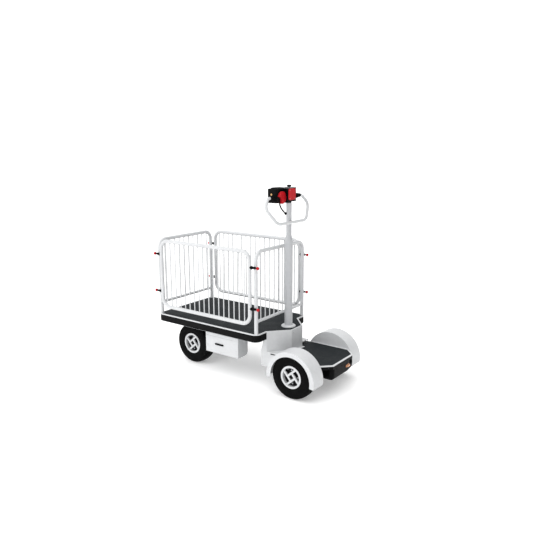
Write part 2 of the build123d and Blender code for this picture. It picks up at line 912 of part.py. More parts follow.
with BuildPart() as column_flange:
    with BuildSketch(Plane(origin=(column_x, 0, deck_top + seat_gap), x_dir=(1, 0, 0), z_dir=(0, -1, 0))):
        with BuildLine():
            Polyline(
                (flange_bore, flange_height),
                (flange_bore, 0),
                (flange_radius, 0),
                (flange_radius, flange_rim),
            )
            ThreePointArc(
                (flange_radius, flange_rim),
                ((flange_radius + flange_collar) / 2, (flange_height + flange_rim) * flange_crown_share),
                (flange_collar, flange_height),
            )
            Line((flange_collar, flange_height), (flange_bore, flange_height))
        make_face()
    revolve(axis=Axis((column_x, 0, 0), (0, 0, 1)))
column_flange.part.label = "column_flange"
export_step(column_flange.part, "parts/column_flange.step")

# Handle loop: one bent tube in a plane that leans back at the bottom, where it passes
# behind the column, and whose top ends run into the head's two grips
loop_base_x = column_x - column_top_radius - loop_tube_radius - loop_weld_gap
loop_plane = Plane(
    origin=(loop_base_x, 0, loop_low),
    x_dir=(0, 1, 0),
    z_dir=(cos(radians(loop_tilt)), 0, -sin(radians(loop_tilt))),
)
grip_half = head_width / 2 + grip_length
with BuildPart() as handle_loop:
    with BuildLine(loop_plane) as loop_route:
        FilletPolyline(
            (grip_half - grip_length / 2, loop_rise),
            (loop_top_half, loop_rise),
            (loop_widest_half, loop_widest_rise),
            (loop_bottom_half, 0),
            (-loop_bottom_half, 0),
            (-loop_widest_half, loop_widest_rise),
            (-loop_top_half, loop_rise),
            (grip_length / 2 - grip_half, loop_rise),
            radius=loop_corners + loop_corners[::-1],
        )
    with BuildSketch(Plane(origin=loop_route.line @ 0, z_dir=loop_route.line % 0)):
        Circle(loop_tube_radius)
    sweep(path=loop_route.line)
handle_loop.part.label = "handle_loop"
export_step(handle_loop.part, "parts/handle_loop.step")

# Black tapered grips between the head's ends and the loop, bored over its tube
loop_end = loop_plane.from_local_coords((0, loop_rise, 0))
with BuildPart() as grips:
    for name, side in sides:
        grip_foot = (loop_end.X, side * (head_width / 2 + seat_gap), loop_end.Z)
        start = Plane(origin=grip_foot, z_dir=(0, side, 0))
        with BuildSketch(start):
            Circle(grip_radius)
        with BuildSketch(start.offset(grip_length - seat_gap)):
            Circle(grip_end_radius)
        loft()
        rod(
            (loop_end.X, side * (grip_half - grip_length / 2 - seat_gap), loop_end.Z),
            (loop_end.X, side * (grip_half + grip_length), loop_end.Z),
            loop_tube_radius + seat_gap,
            Mode.SUBTRACT,
        )
grips.part.label = "grips"
export_step(grips.part, "parts/grips.step")

# Control head: a rounded housing ahead of the column's top, with a raised cap and the
# clamp block that sits on the column
head_low = column_top + head_gap
head_rear = column_x + column_top_radius
head_high = head_low + head_height
with BuildPart() as control_head:
    with BuildSketch(Plane.XY.offset(head_low)):
        with Locations((head_rear + head_depth / 2, 0)):
            RectangleRounded(head_depth, head_width, head_corner)
    extrude(amount=head_height)
    fillet(control_head.faces().sort_by(Axis.Z)[-1].edges(), head_corner / 2)
    with BuildSketch(Plane.XY.offset(head_high - head_corner / 2)):
        with Locations((head_rear + head_depth / 2, head_cap_offset)):
            RectangleRounded(head_depth - 2 * head_corner, head_cap_width, head_corner)
    extrude(amount=head_cap_height + head_corner / 2, taper=head_cap_taper)
    box_between(
        (column_x - clamp_back, -clamp_width / 2, column_top),
        (head_rear + head_corner, clamp_width / 2, head_high),
    )
    for name, side in sides:
        rod(
            (head_rear + lock_place, side * head_width / 2, head_high - lock_drop),
            (head_rear + lock_place, side * (head_width / 2 + lock_length), head_high - lock_drop),
            lock_radius,
        )
control_head.part.label = "control_head"
export_step(control_head.part, "parts/control_head.step")

# Red switch box on the clamp block, facing the operator
switch_face = column_x - clamp_back - seat_gap
with BuildPart() as switch_box:
    switch_spot = (switch_face, 0, head_low + switch_lift)
    with BuildSketch(Plane(origin=switch_spot, x_dir=(0, 1, 0), z_dir=(-1, 0, 0))):
        with Locations((0, -switch_height / 2)):
            RectangleRounded(switch_width, switch_height, switch_corner)
    extrude(amount=switch_depth)
    fillet(switch_box.faces().sort_by(Axis.X)[0].edges(), switch_corner / 2)
switch_box.part.label = "switch_box"
export_step(switch_box.part, "parts/switch_box.step")

# Red thumb paddle on the head's left half: a disc with a hollow bitten from its edge
paddle_face = head_rear - seat_gap
with BuildPart() as thumb_paddle:
    paddle_z = head_low + paddle_lift
    paddle_spot = (paddle_face, paddle_centre, paddle_z)
    with BuildSketch(Plane(origin=paddle_spot, x_dir=(0, -1, 0), z_dir=(-1, 0, 0))):
        Circle(paddle_radius)
        with Locations((-paddle_hollow_shift, -paddle_hollow_drop)):
            Circle(paddle_hollow_radius, mode=Mode.SUBTRACT)
    extrude(amount=paddle_depth)
    fillet(thumb_paddle.faces().sort_by(Axis.X)[0].edges(), paddle_depth / 4)
thumb_paddle.part.label = "thumb_paddle"
export_step(thumb_paddle.part, "parts/thumb_paddle.step")

# Black mushroom knob over the column
with BuildPart() as stop_knob:
    stop_low = head_high + seat_gap
    stop_neck = stop_low + stop_stem_length
    with BuildSketch(Plane(origin=(column_x, 0, 0), x_dir=(1, 0, 0), z_dir=(0, -1, 0))):
        Polygon(
            (0, stop_low),
            (stop_stem_radius, stop_low),
            (stop_stem_radius, stop_neck),
            (stop_radius * stop_skirt_share, stop_neck),
            (stop_radius, stop_neck + stop_height / 2),
            (stop_radius, stop_neck + stop_height * stop_skirt_share),
            (stop_radius * stop_skirt_share, stop_neck + stop_height),
            (0, stop_neck + stop_height),
            align=None,
        )
    revolve(axis=Axis((column_x, 0, 0), (0, 0, 1)))
stop_knob.part.label = "stop_knob"
export_step(stop_knob.part, "parts/stop_knob.step")

# Control cable from the head's underside into the column's side, held at both ends
cable_points = [(column_x + ahead, left, column_top + up) for ahead, left, up in cable_route]
with BuildPart() as control_cable:
    with BuildLine() as cable_line:
        FilletPolyline(*cable_points, radius=cable_bend)
    with BuildSketch(Plane(origin=cable_line.line @ 0, z_dir=cable_line.line % 0)):
        Circle(cable_radius)
    sweep(path=cable_line.line)
    rod(
        (column_x, 0, column_taper_high),
        (column_x, 0, column_top),
        column_top_radius + seat_gap,
        Mode.SUBTRACT,
    )
control_cable.part.label = "control_cable"
export_step(control_cable.part, "parts/control_cable.step")

# Drag link: flat bar with two eyes, from the column's arm to the bogie's arm
link_low = arm_high + seat_gap
with BuildPart() as drag_link:
    with BuildSketch(Plane.XY.offset(link_low)):
        with Locations(((column_x + front_axle_x) / 2, steer_arm)):
            Rectangle(front_axle_x - column_x, link_width)
        with Locations((column_x, steer_arm), (front_axle_x, steer_arm)):
            Circle(link_eye_radius)
        with Locations((column_x, steer_arm)):
            Circle(link_pin_radius + fit_clearance, mode=Mode.SUBTRACT)
        with Locations((front_axle_x, steer_arm)):
            Circle(link_pin_radius + open_eye_clearance, mode=Mode.SUBTRACT)
    extrude(amount=link_thickness)
drag_link.part.label = "drag_link"
export_step(drag_link.part, "parts/drag_link.step")

# Front bogie: turntable disc and pivot pin, neck, axle beam, stubs and steering arm
disc_high = turntable_low - seat_gap
with BuildPart() as front_bogie:
    rod((front_axle_x, 0, arm_low), (front_axle_x, 0, disc_high), turntable_radius)
    rod((front_axle_x, 0, disc_high), (front_axle_x, 0, disc_high + pivot_pin_length), pivot_pin_radius)
    rod((front_axle_x, 0, wheel_radius), (front_axle_x, 0, arm_low), neck_radius)
    front_hub_face = front_track / 2 - hub_inner_length - seat_gap
    box_between(
        (front_axle_x - beam_length / 2, -front_hub_face, wheel_radius - beam_height / 2),
        (front_axle_x + beam_length / 2, front_hub_face, wheel_radius + beam_height / 2),
    )
    front_stub = front_track / 2 + stub_length
    rod((front_axle_x, -front_stub, wheel_radius), (front_axle_x, front_stub, wheel_radius), axle_radius)
    box_between(
        (front_axle_x - steer_arm_width / 2, 0, arm_low),
        (front_axle_x + steer_arm_width / 2, steer_arm, arm_high),
    )
    rod((front_axle_x, steer_arm, arm_low), (front_axle_x, steer_arm, arm_high), steer_arm_width / 2)
    rod(
        (front_axle_x, steer_arm, arm_low),
        (front_axle_x, steer_arm, arm_high + link_thickness + seat_gap),
        link_pin_radius,
    )
front_bogie.part.label = "front_bogie"
export_step(front_bogie.part, "parts/front_bogie.step")


# Wheels: each has a tyre, a white rim with a pinwheel of four spokes, and a dark hub.
# The profiles are drawn as radius against distance out from the wheel's middle.
def wheel_pieces(x, y, side):
    """Tyre, rim and hub of one wheel, whose outer face looks to the given side."""
    centre = (x, y, wheel_radius)
    profile = Plane(origin=centre, x_dir=(1, 0, 0), z_dir=(0, 0, side))
    face = Plane(origin=centre, x_dir=(1, 0, 0), z_dir=(0, side, 0))
    spin = Axis(centre, (0, side, 0))
    bead = rim_barrel_radius + seat_gap
    bulge = (rim_radius + tyre_shoulder_radius) / 2
    with BuildPart() as tyre:
        with BuildSketch(profile):
            with BuildLine():
                Line((bead, 0), (bead, tyre_bead_width / 2))
                Line((bead, tyre_bead_width / 2), (rim_radius, tyre_bead_width / 2))
                ThreePointArc(
                    (rim_radius, tyre_bead_width / 2),
                    (bulge, tyre_width / 2),
                    (tyre_shoulder_radius, tyre_shoulder_width / 2),
                )
                Line(
                    (tyre_shoulder_radius, tyre_shoulder_width / 2),
                    (wheel_radius - tyre_crown_drop, tyre_crown_width / 2),
                )
                ThreePointArc(
                    (wheel_radius - tyre_crown_drop, tyre_crown_width / 2),
                    (wheel_radius, 0),
                    (wheel_radius - tyre_crown_drop, -tyre_crown_width / 2),
                )
                Line(
                    (wheel_radius - tyre_crown_drop, -tyre_crown_width / 2),
                    (tyre_shoulder_radius, -tyre_shoulder_width / 2),
                )
                ThreePointArc(
                    (tyre_shoulder_radius, -tyre_shoulder_width / 2),
                    (bulge, -tyre_width / 2),
                    (rim_radius, -tyre_bead_width / 2),
                )
                Line((rim_radius, -tyre_bead_width / 2), (bead, -tyre_bead_width / 2))
                Line((bead, -tyre_bead_width / 2), (bead, 0))
            make_face()
        revolve(axis=spin)
    barrel_wall = rim_barrel_radius - rim_ring_inner_radius
    with BuildPart() as rim:
        with BuildSketch(profile):
            with Locations((rim_barrel_radius - barrel_wall / 2, 0)):
                Rectangle(barrel_wall, rim_width)
            flange_place = (rim_width - rim_flange_thickness) / 2
            with Locations(
                ((rim_radius + rim_ring_inner_radius) / 2, flange_place),
                ((rim_radius + rim_ring_inner_radius) / 2, -flange_place),
            ):
                Rectangle(rim_radius - rim_ring_inner_radius, rim_flange_thickness)
        revolve(axis=spin)
        spoke_reach = rim_ring_inner_radius + barrel_wall / 2
        with BuildSketch(face.offset(rim_width / 2 - spoke_recess)):
            for index in range(spoke_count):
                with Locations(Location((0, 0), spoke_turn + index * 360 / spoke_count)):
                    with Locations(((hub_square - spoke_width) / 2, (hub_square / 2 - spoke_reach) / 2)):
                        Rectangle(spoke_width, spoke_reach + hub_square / 2)
            Circle(spoke_reach, mode=Mode.INTERSECT)
        extrude(amount=-spoke_thickness)
    with BuildPart() as hub:
        web_low = rim_width / 2 - hub_web_recess
        spoke_back = rim_width / 2 - spoke_recess - spoke_thickness
        with BuildSketch(profile):
            with BuildLine():
                Polyline(
                    (0, -hub_inner_length),
                    (hub_radius, -hub_inner_length),
                    (hub_radius, web_low),
                    (rim_ring_inner_radius - seat_gap, web_low),
                    (rim_ring_inner_radius - seat_gap, web_low + hub_web_thickness),
                    (hub_radius, web_low + hub_web_thickness),
                    (hub_radius - seat_gap, spoke_back - seat_gap),
                    (hub_cap_radius, spoke_back - seat_gap),
                    (hub_cap_radius, spoke_back + hub_cap_length),
                    (0, spoke_back + hub_cap_length),
                    close=True,
                )
            make_face()
        revolve(axis=spin)
        bore = axle_radius + fit_clearance
        with BuildSketch(face.offset(-hub_inner_length - seat_gap)):
            Circle(bore)
        extrude(amount=hub_inner_length + stub_length + 2 * seat_gap, mode=Mode.SUBTRACT)
    return {"tyre": tyre.part, "rim": rim.part, "hub": hub.part}


wheel_places = (("front", front_axle_x, front_track / 2), ("rear", rear_axle_x, rear_track / 2))
for end_name, wheel_x, wheel_y in wheel_places:
    for name, side in sides:
        for piece_name, piece in wheel_pieces(wheel_x, side * wheel_y, side).items():
            full_name = piece_name + "_" + end_name + "_" + name
            piece.label = full_name
            export_step(piece, "parts/" + full_name + ".step")
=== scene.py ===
import json
from math import cos, radians, sin

import bmesh
import bpy
import numpy as np
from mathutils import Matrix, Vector


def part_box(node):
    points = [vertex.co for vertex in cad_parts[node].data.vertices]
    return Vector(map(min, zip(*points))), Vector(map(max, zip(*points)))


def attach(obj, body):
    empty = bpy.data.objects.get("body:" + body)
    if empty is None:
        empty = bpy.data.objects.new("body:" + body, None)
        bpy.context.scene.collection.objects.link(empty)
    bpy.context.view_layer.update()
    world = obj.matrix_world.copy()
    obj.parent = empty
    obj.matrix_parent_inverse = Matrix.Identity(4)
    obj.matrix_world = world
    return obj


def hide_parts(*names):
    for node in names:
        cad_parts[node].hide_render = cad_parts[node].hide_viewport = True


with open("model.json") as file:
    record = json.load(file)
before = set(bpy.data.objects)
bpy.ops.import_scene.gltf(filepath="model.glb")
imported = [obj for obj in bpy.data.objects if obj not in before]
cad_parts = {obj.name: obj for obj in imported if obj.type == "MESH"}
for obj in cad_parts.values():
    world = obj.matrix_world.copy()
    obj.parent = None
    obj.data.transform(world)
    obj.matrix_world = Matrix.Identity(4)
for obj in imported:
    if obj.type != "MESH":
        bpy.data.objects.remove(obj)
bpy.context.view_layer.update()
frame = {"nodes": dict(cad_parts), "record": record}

bl_info = {
    "name": "Stand-on cart dressing",
    "version": (1, 0, 0),
    "blender": (4, 5, 0),
    "location": "View3D > Sidebar > Cart",
    "description": "Finishes and small pieces for a stand-on electric cart",
    "category": "Object",
}

ENDS = ("front", "rear")
SIDES = (("left", 1.0), ("right", -1.0))
MM = 0.001
UP = (0.0, 0.0, 1.0)
LEFT = (0.0, 1.0, 0.0)
FORWARD, BACK = (1.0, 0.0, 0.0), (-1.0, 0.0, 0.0)
WHITE = (1.0, 1.0, 1.0, 1.0)
END_BARS, SIDE_BARS = 10, 17
FENCE_TUBE = 14 * MM
BAR_WELD = 4.4 * MM
RAIL_LEVEL = 0.502
RAIL_TUBE = 11 * MM
POST_FOOT = 0.4125
COVER_SCREW_LEVEL = 0.385
COVER_FOOT_LEVEL = 0.2483
KEY_LEVEL = 1.397
SPOKE_TURN = 41
HANDLE_LEAN = radians(20)


# Places read from the frame

def span(node):
    """A node's lowest and highest corner as numpy arrays."""
    low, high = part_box(node)
    return np.array(low), np.array(high)


def middle(node):
    """The middle of a node's box."""
    low, high = span(node)
    return (low + high) / 2


# Colours and sizes that a user may change

def colour(name, description, value):
    """A colour property with its name and default."""
    return bpy.props.FloatVectorProperty(
        name=name, description=description, subtype="COLOR", size=4, min=0.0, max=1.0, default=value
    )


def number(name, description, value, unit="NONE"):
    """A number property with its name, default and unit."""
    return bpy.props.FloatProperty(name=name, description=description, unit=unit, default=value)


class CartFinish(bpy.types.PropertyGroup):
    """Colours and roughness of the cart's finishes."""

    paint: colour("Paint", "Powder coat on the fence, covers and boxes", (0.61, 0.62, 0.63, 1.0))
    paint_shade: colour("Paint shade", "Darker tone in the powder coat", (0.54, 0.55, 0.565, 1.0))
    # Column paint: the white coat made greyer for the column; the grey is partly its own coat and partly
    # painted shade on the column.
    column_paint_and_shade: colour("Column paint", "Greyer coat on the column", (0.46, 0.47, 0.485, 1.0))
    under_paint: colour("Under paint", "Paint under the deck", (0.42, 0.44, 0.45, 1.0))
    mat: colour("Mat", "Ribbed rubber mat", (0.0085, 0.0115, 0.0135, 1.0))
    mat_dust: colour("Mat dust", "Dust lying in the mat", (0.022, 0.026, 0.029, 1.0))
    rubber: colour("Rubber", "Bumper, grips and tyres", (0.0014, 0.0014, 0.0015, 1.0))
    rubber_dust: colour("Rubber dust", "Dry dust on rubber", (0.0040, 0.0040, 0.0042, 1.0))
    plastic: colour("Black plastic", "Head, housings and latches", (0.0024, 0.0024, 0.0026, 1.0))
    red: colour("Red plastic", "Knobs, paddle and switch box", (0.48, 0.010, 0.016, 1.0))
    red_shade: colour("Red shade", "Deeper tone in the red plastic", (0.40, 0.008, 0.013, 1.0))
    amber: colour("Amber lens", "Tail lamp lens", (0.60, 0.19, 0.020, 1.0))
    brass: colour("Brass", "Key barrel", (0.72, 0.44, 0.20, 1.0))
    zinc: colour("Zinc", "Screws, nuts and valve stems", (0.55, 0.56, 0.58, 1.0))


class CartForm(bpy.types.PropertyGroup):
    """Sizes of the small pieces."""

    groove_depth: number("Tread depth", "Depth of the tyre's grooves", 0.0045, "LENGTH")
    tread_blocks: bpy.props.IntProperty(
        name="Tread blocks", description="Blocks round the tyre", default=44, min=8, max=120
    )
    grip_ribs: bpy.props.IntProperty(
        name="Grip ribs", description="Ribs along each grip", default=6, min=2, max=20
    )
    weld_radius: number("Weld radius", "Radius of the weld bead at a bar", 0.0024, "LENGTH")


class CartStage(bpy.types.PropertyGroup):
    """Camera and light of the studio."""

    camera_place: bpy.props.FloatVectorProperty(
        name="Camera", description="Camera place", subtype="TRANSLATION", unit="LENGTH", size=3,
        default=(-2.6056, 3.4018, 1.7108)
    )
    camera_yaw: number("Yaw", "Turn of the view towards +X", radians(35.534), "ROTATION")
    camera_pitch: number("Pitch", "Downward tilt of the view", radians(12.467), "ROTATION")
    lens: number("Lens", "Focal length in millimetres", 37.32)
    floor_size: number("Floor", "Width of the floor", 60.0, "LENGTH")
    key_power: number("Key", "Power of the key light", 50.0, "POWER")
    floor_glow: number("Floor glow", "Light that the white floor gives by itself", 0.28)
    top_strength: number("Top", "Strength of the wide light from above", 1.55)
    world_strength: number("Surround", "Strength of the white surround ahead", 1.08)
    shade_strength: number("Shade side", "Strength of the surround behind the cart", 0.50)


def finish():
    """The finish settings of the scene."""
    return bpy.context.scene.cart_finish


def form():
    """The size settings of the scene."""
    return bpy.context.scene.cart_form


# Meshes from arrays

def placed(name, data, place=(0.0, 0.0, 0.0), way=None):
    """A new object in the scene at a place, looking along a way where one is given."""
    thing = bpy.data.objects.new(name, data)
    thing.location = place
    if way is not None:
        thing.rotation_euler = way.to_track_quat("-Z", "Y").to_euler()
    bpy.context.scene.collection.objects.link(thing)
    return thing


def mesh_piece(name, mesh, body, slot, finish_name=None, smooth=True):
    """A mesh object from its points and faces, riding on a body, in the finish named, or else in its slot's
    finish.
    """
    verts, faces = mesh
    data = bpy.data.meshes.new(name)
    data.from_pydata(np.asarray(verts, float).tolist(), [], [list(map(int, f)) for f in faces])
    data.validate()
    data.polygons.foreach_set("use_smooth", [smooth] * len(data.polygons))
    data.materials.append(material(finish_name or slot))
    piece = placed(name, data)
    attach(piece, body)
    return piece


def grid_faces(rows, columns, wrap_rows=False, wrap_columns=False):
    """Quads of a grid of points, row by row, closed round either way where asked."""
    r = np.arange(rows if wrap_rows else rows - 1)
    c = np.arange(columns if wrap_columns else columns - 1)
    rr, cc = np.meshgrid(r, c, indexing="ij")
    r1, c1 = (rr + 1) % rows, (cc + 1) % columns
    quads = np.stack([rr * columns + cc, r1 * columns + cc, r1 * columns + c1, rr * columns + c1], -1)
    return quads.reshape(-1, 4)


def capped_faces(rows, columns):
    """Quads of a tube of rings, with one face over each end."""
    last = (rows - 1) * columns
    caps = [list(range(columns))[::-1], list(range(last, last + columns))]
    return grid_faces(rows, columns, wrap_columns=True).tolist() + caps


def frame_of(axis):
    """Two unit vectors square to an axis, and the axis itself, right-handed."""
    w = np.asarray(axis, float) / np.linalg.norm(axis)
    u = np.cross(UP if abs(w[2]) < 0.9 else FORWARD, w)
    u /= np.linalg.norm(u)
    return u, np.cross(w, u), w


def turned(profile, centre, axis, count):
    """Surface of revolution: point(i, k) = centre + r_i (cos a_k u + sin a_k v) + h_i w.

    The profile is a list of (r, h) and w is the axis. A radius of zero closes the end.
    """
    u, v, w = frame_of(axis)
    a = np.linspace(0.0, 2 * np.pi, count, endpoint=False)
    r, h = np.array(profile, float).T
    ring = np.cos(a)[:, None] * u + np.sin(a)[:, None] * v
    points = np.asarray(centre) + r[:, None, None] * ring[None] + h[:, None, None] * w
    return points.reshape(-1, 3), grid_faces(len(r), count, wrap_columns=True)[:, ::-1]


def joined(parts):
    """One set of points and faces from several, with the face numbers shifted on."""
    verts, faces, start = [], [], 0
    for points, rings in parts:
        verts.append(points)
        faces.extend([[int(i) + start for i in ring] for ring in rings])
        start += len(points)
    return np.concatenate(verts), faces


def dome(centre, axis, radius, height, count=14):
    """A domed screw head: r = R cos t, h = H sin t for t from 0 to a quarter turn, with a
    small hex socket sunk in its crown."""
    t = np.linspace(0.0, 0.42 * np.pi, 5)
    rim = [(0.0, -0.2 * height), (radius, -0.2 * height)]
    crown = list(zip(radius * np.cos(t), height * np.sin(t)))
    socket = [(0.34 * radius, 0.93 * height), (0.32 * radius, 0.45 * height), (0.0, 0.45 * height)]
    return turned(rim + crown + socket, centre, axis, count)


def hex_nut(centre, axis, radius, height):
    """A six-sided nut with a chamfered crown and a stud's end in it."""
    profile = [
        (0.0, 0.0), (radius, 0.0), (radius, 0.82 * height), (0.86 * radius, height),
        (0.52 * radius, height), (0.52 * radius, 1.3 * height), (0.0, 1.34 * height),
    ]
    return turned(profile, centre, axis, 6)


def capped_tube(points, radius, count):
    """A closed round tube along points: each ring stands square to the path there."""
    p = np.asarray(points, float)
    tangent = np.gradient(p, axis=0)
    tangent /= np.linalg.norm(tangent, axis=1)[:, None]
    u = np.cross(UP if abs(tangent[:, 2]).max() < 0.95 else LEFT, tangent)
    u /= np.linalg.norm(u, axis=1)[:, None]
    v = np.cross(tangent, u)
    a = np.linspace(0.0, 2 * np.pi, count, endpoint=False)
    out = np.cos(a)[None, :, None] * u[:, None] + np.sin(a)[None, :, None] * v[:, None]
    return (p[:, None] + radius * out).reshape(-1, 3), capped_faces(len(p), count)


# Shader node groups

def new_group(name, inputs, outputs):
    """A node group with named inputs (name, default) and outputs (name, socket type)."""
    group = bpy.data.node_groups.new(name, "ShaderNodeTree")
    for label, value in inputs:
        kind = "NodeSocketColor" if isinstance(value, tuple) else "NodeSocketFloat"
        group.interface.new_socket(label, in_out="INPUT", socket_type=kind).default_value = value
    for label, kind in outputs:
        group.interface.new_socket(label, in_out="OUTPUT", socket_type=kind)
    return group, group.nodes.new("NodeGroupInput"), group.nodes.new("NodeGroupOutput")


def feed(tree, socket, item):
    """Links an output to an input socket, or sets the input's value."""
    if isinstance(item, bpy.types.NodeSocket):
        tree.links.new(item, socket)
    else:
        socket.default_value = item


def put(tree, node, **inputs):
    """Links or sets a node's inputs by their names, with an underscore for a space."""
    for label, item in inputs.items():
        feed(tree, node.inputs[label.replace("_", " ")], item)
    return node


def add_node(tree, kind, **inputs):
    """A new node of a kind, with its inputs linked or set."""
    return put(tree, tree.nodes.new(kind), **inputs)


def object_coords(tree):
    """The Object coordinates' socket."""
    return add_node(tree, "ShaderNodeTexCoord").outputs["Object"]


def object_axis(tree, axis):
    """One of the Object coordinates."""
    return add_node(tree, "ShaderNodeSeparateXYZ", Vector=object_coords(tree)).outputs[axis]


def object_noise(tree, scale, detail, roughness=0.55):
    """Noise that reads Object coordinates; gives its value socket."""
    return add_node(
        tree, "ShaderNodeTexNoise", Vector=object_coords(tree), Scale=scale, Detail=detail,
        Roughness=roughness,
    ).outputs["Fac"]


def remap(tree, source, low, high, out_low=0.0, out_high=1.0):
    """A value mapped from one range to another, and clamped."""
    return add_node(
        tree, "ShaderNodeMapRange", Value=source, From_Min=low, From_Max=high, To_Min=out_low,
        To_Max=out_high,
    ).outputs["Result"]


def mixed(tree, factor, first, second, mode="MIX"):
    """Two colours mixed by a factor; gives the colour socket."""
    node = tree.nodes.new("ShaderNodeMix")
    node.data_type = "RGBA"
    node.blend_type = mode
    for index, item in ((0, factor), (6, first), (7, second)):
        feed(tree, node.inputs[index], item)
    return node.outputs[2]


def math_node(tree, operation, first, second=0.0):
    """A math node of two values or sockets."""
    node = tree.nodes.new("ShaderNodeMath")
    node.operation = operation
    feed(tree, node.inputs[0], first)
    feed(tree, node.inputs[1], second)
    return node.outputs[0]


def mottle_group():
    """Coat mottling: two tones mixed by soft noise, with a fine peel for the bump."""
    group, source, sink = new_group(
        "Coat mottle",
        [("Light", (0.7, 0.7, 0.7, 1.0)), ("Dark", (0.5, 0.5, 0.5, 1.0)), ("Amount", 0.5)],
        [("Color", "NodeSocketColor"), ("Roughness", "NodeSocketFloat"), ("Height", "NodeSocketFloat")],
    )
    soft = remap(group, object_noise(group, 3.1, 4.0), 0.35, 0.7)
    fine = object_noise(group, 46.0, 3.0)
    factor = math_node(group, "MULTIPLY", soft, source.outputs["Amount"])
    tone = mixed(group, factor, source.outputs["Light"], source.outputs["Dark"])
    speck = remap(group, fine, 0.3, 0.72, 0.94, 1.0)
    grey = group.nodes.new("ShaderNodeCombineColor")
    for index in range(3):
        group.links.new(speck, grey.inputs[index])
    put(
        group, sink, Color=mixed(group, 1.0, tone, grey.outputs[0], "MULTIPLY"),
        Roughness=remap(group, soft, 0.0, 1.0, 0.30, 0.42), Height=object_noise(group, 420.0, 2.0),
    )
    return group


def floor_dust_group():
    """Dust that thickens towards the floor: a height ramp broken up by noise."""
    group, source, sink = new_group(
        "Floor dust",
        [("Color", (0.5, 0.5, 0.5, 1.0)), ("Dust", (0.3, 0.28, 0.25, 1.0)), ("Top", 0.35), ("Amount", 0.5)],
        [("Color", "NodeSocketColor"), ("Mask", "NodeSocketFloat")],
    )
    fall = remap(group, object_axis(group, "Z"), source.outputs["Top"], 0.0)
    broken = remap(group, object_noise(group, 21.0, 6.0, 0.7), 0.38, 0.68)
    mask = math_node(group, "MULTIPLY", fall, broken)
    mask = math_node(group, "MULTIPLY", mask, source.outputs["Amount"])
    tone = mixed(group, mask, source.outputs["Color"], source.outputs["Dust"])
    put(group, sink, Color=tone, Mask=mask)
    return group


def scuff_group():
    """Fine scuffs: stretched noise cut to thin streaks, as a mask."""
    group, source, sink = new_group("Scuffs", [("Amount", 0.5)], [("Mask", "NodeSocketFloat")])
    stretch = add_node(
        group, "ShaderNodeMapping", Vector=object_coords(group), Rotation=(0.5, 0.3, 0.9),
        Scale=(14.0, 14.0, 150.0),
    )
    noise = add_node(
        group, "ShaderNodeTexNoise", Vector=stretch.outputs["Vector"], Scale=1.0, Detail=5.0
    )
    streak = remap(group, noise.outputs["Fac"], 0.62, 0.70)
    patch = remap(group, object_noise(group, 5.0, 2.0), 0.48, 0.62)
    mask = math_node(group, "MULTIPLY", streak, patch)
    put(group, sink, Mask=math_node(group, "MULTIPLY", mask, source.outputs["Amount"]))
    return group


def grain_group():
    """Moulded grain: cells and noise added as one height, with a slight change of tone."""
    group, source, sink = new_group(
        "Moulded grain",
        [("Color", (0.1, 0.1, 0.1, 1.0)), ("Shade", (0.05, 0.05, 0.05, 1.0)), ("Scale", 300.0)],
        [("Color", "NodeSocketColor"), ("Height", "NodeSocketFloat"), ("Roughness", "NodeSocketFloat")],
    )
    cells = add_node(
        group, "ShaderNodeTexVoronoi", Vector=object_coords(group), Scale=source.outputs["Scale"]
    )
    soft = object_noise(group, 9.0, 4.0)
    height = math_node(group, "ADD", cells.outputs["Distance"], object_noise(group, 180.0, 2.0))
    patch = remap(group, soft, 0.35, 0.68)
    tone = mixed(group, patch, source.outputs["Color"], source.outputs["Shade"])
    put(group, sink, Color=tone, Height=height, Roughness=remap(group, soft, 0.3, 0.7))
    return group


def rib_group():
    """Mat ribs: h = |sin(k y)| across the cart, with dust kept in the valleys."""
    group, source, sink = new_group(
        "Mat ribs",
        [("Rubber", (0.02, 0.02, 0.02, 1.0)), ("Dust", (0.06, 0.06, 0.06, 1.0)), ("Pitch", 0.006)],
        [("Color", "NodeSocketColor"), ("Height", "NodeSocketFloat"), ("Roughness", "NodeSocketFloat")],
    )
    turns = math_node(group, "DIVIDE", object_axis(group, "Y"), source.outputs["Pitch"])
    wave = math_node(group, "SINE", math_node(group, "MULTIPLY", turns, np.pi))
    wave = math_node(group, "ABSOLUTE", wave)
    valley = remap(group, wave, 0.45, 0.0)
    patch = remap(group, object_noise(group, 6.5, 6.0, 0.65), 0.36, 0.66)
    speck = remap(group, object_noise(group, 240.0, 3.0), 0.55, 0.75)
    lie = math_node(group, "MULTIPLY", valley, patch)
    lie = math_node(group, "MAXIMUM", lie, math_node(group, "MULTIPLY", speck, patch))
    film = math_node(group, "MULTIPLY", patch, 0.28)
    wide = math_node(group, "MAXIMUM", film, math_node(group, "MULTIPLY", lie, 0.8))
    tone = mixed(group, wide, source.outputs["Rubber"], source.outputs["Dust"])
    put(group, sink, Color=tone, Height=wave, Roughness=remap(group, patch, 0.0, 1.0, 0.62, 0.82))
    return group


GROUPS = {}


def use_group(tree, name, **values):
    """An instance of a shared group, with its inputs set to values or linked to sockets."""
    makers = {
        "mottle": mottle_group, "dust": floor_dust_group, "scuff": scuff_group,
        "grain": grain_group, "ribs": rib_group,
    }
    if name not in GROUPS:
        GROUPS[name] = makers[name]()
    node = tree.nodes.new("ShaderNodeGroup")
    node.node_tree = GROUPS[name]
    return put(tree, node, **values)


# Materials

def blank_material(name):
    """A material with a bare Principled shader; gives the material, its tree and shader."""
    material = bpy.data.materials.new(name)
    material.use_nodes = True
    tree = material.node_tree
    tree.nodes.clear()
    shader = tree.nodes.new("ShaderNodeBsdfPrincipled")
    output = tree.nodes.new("ShaderNodeOutputMaterial")
    tree.links.new(shader.outputs["BSDF"], output.inputs["Surface"])
    return material, tree, shader


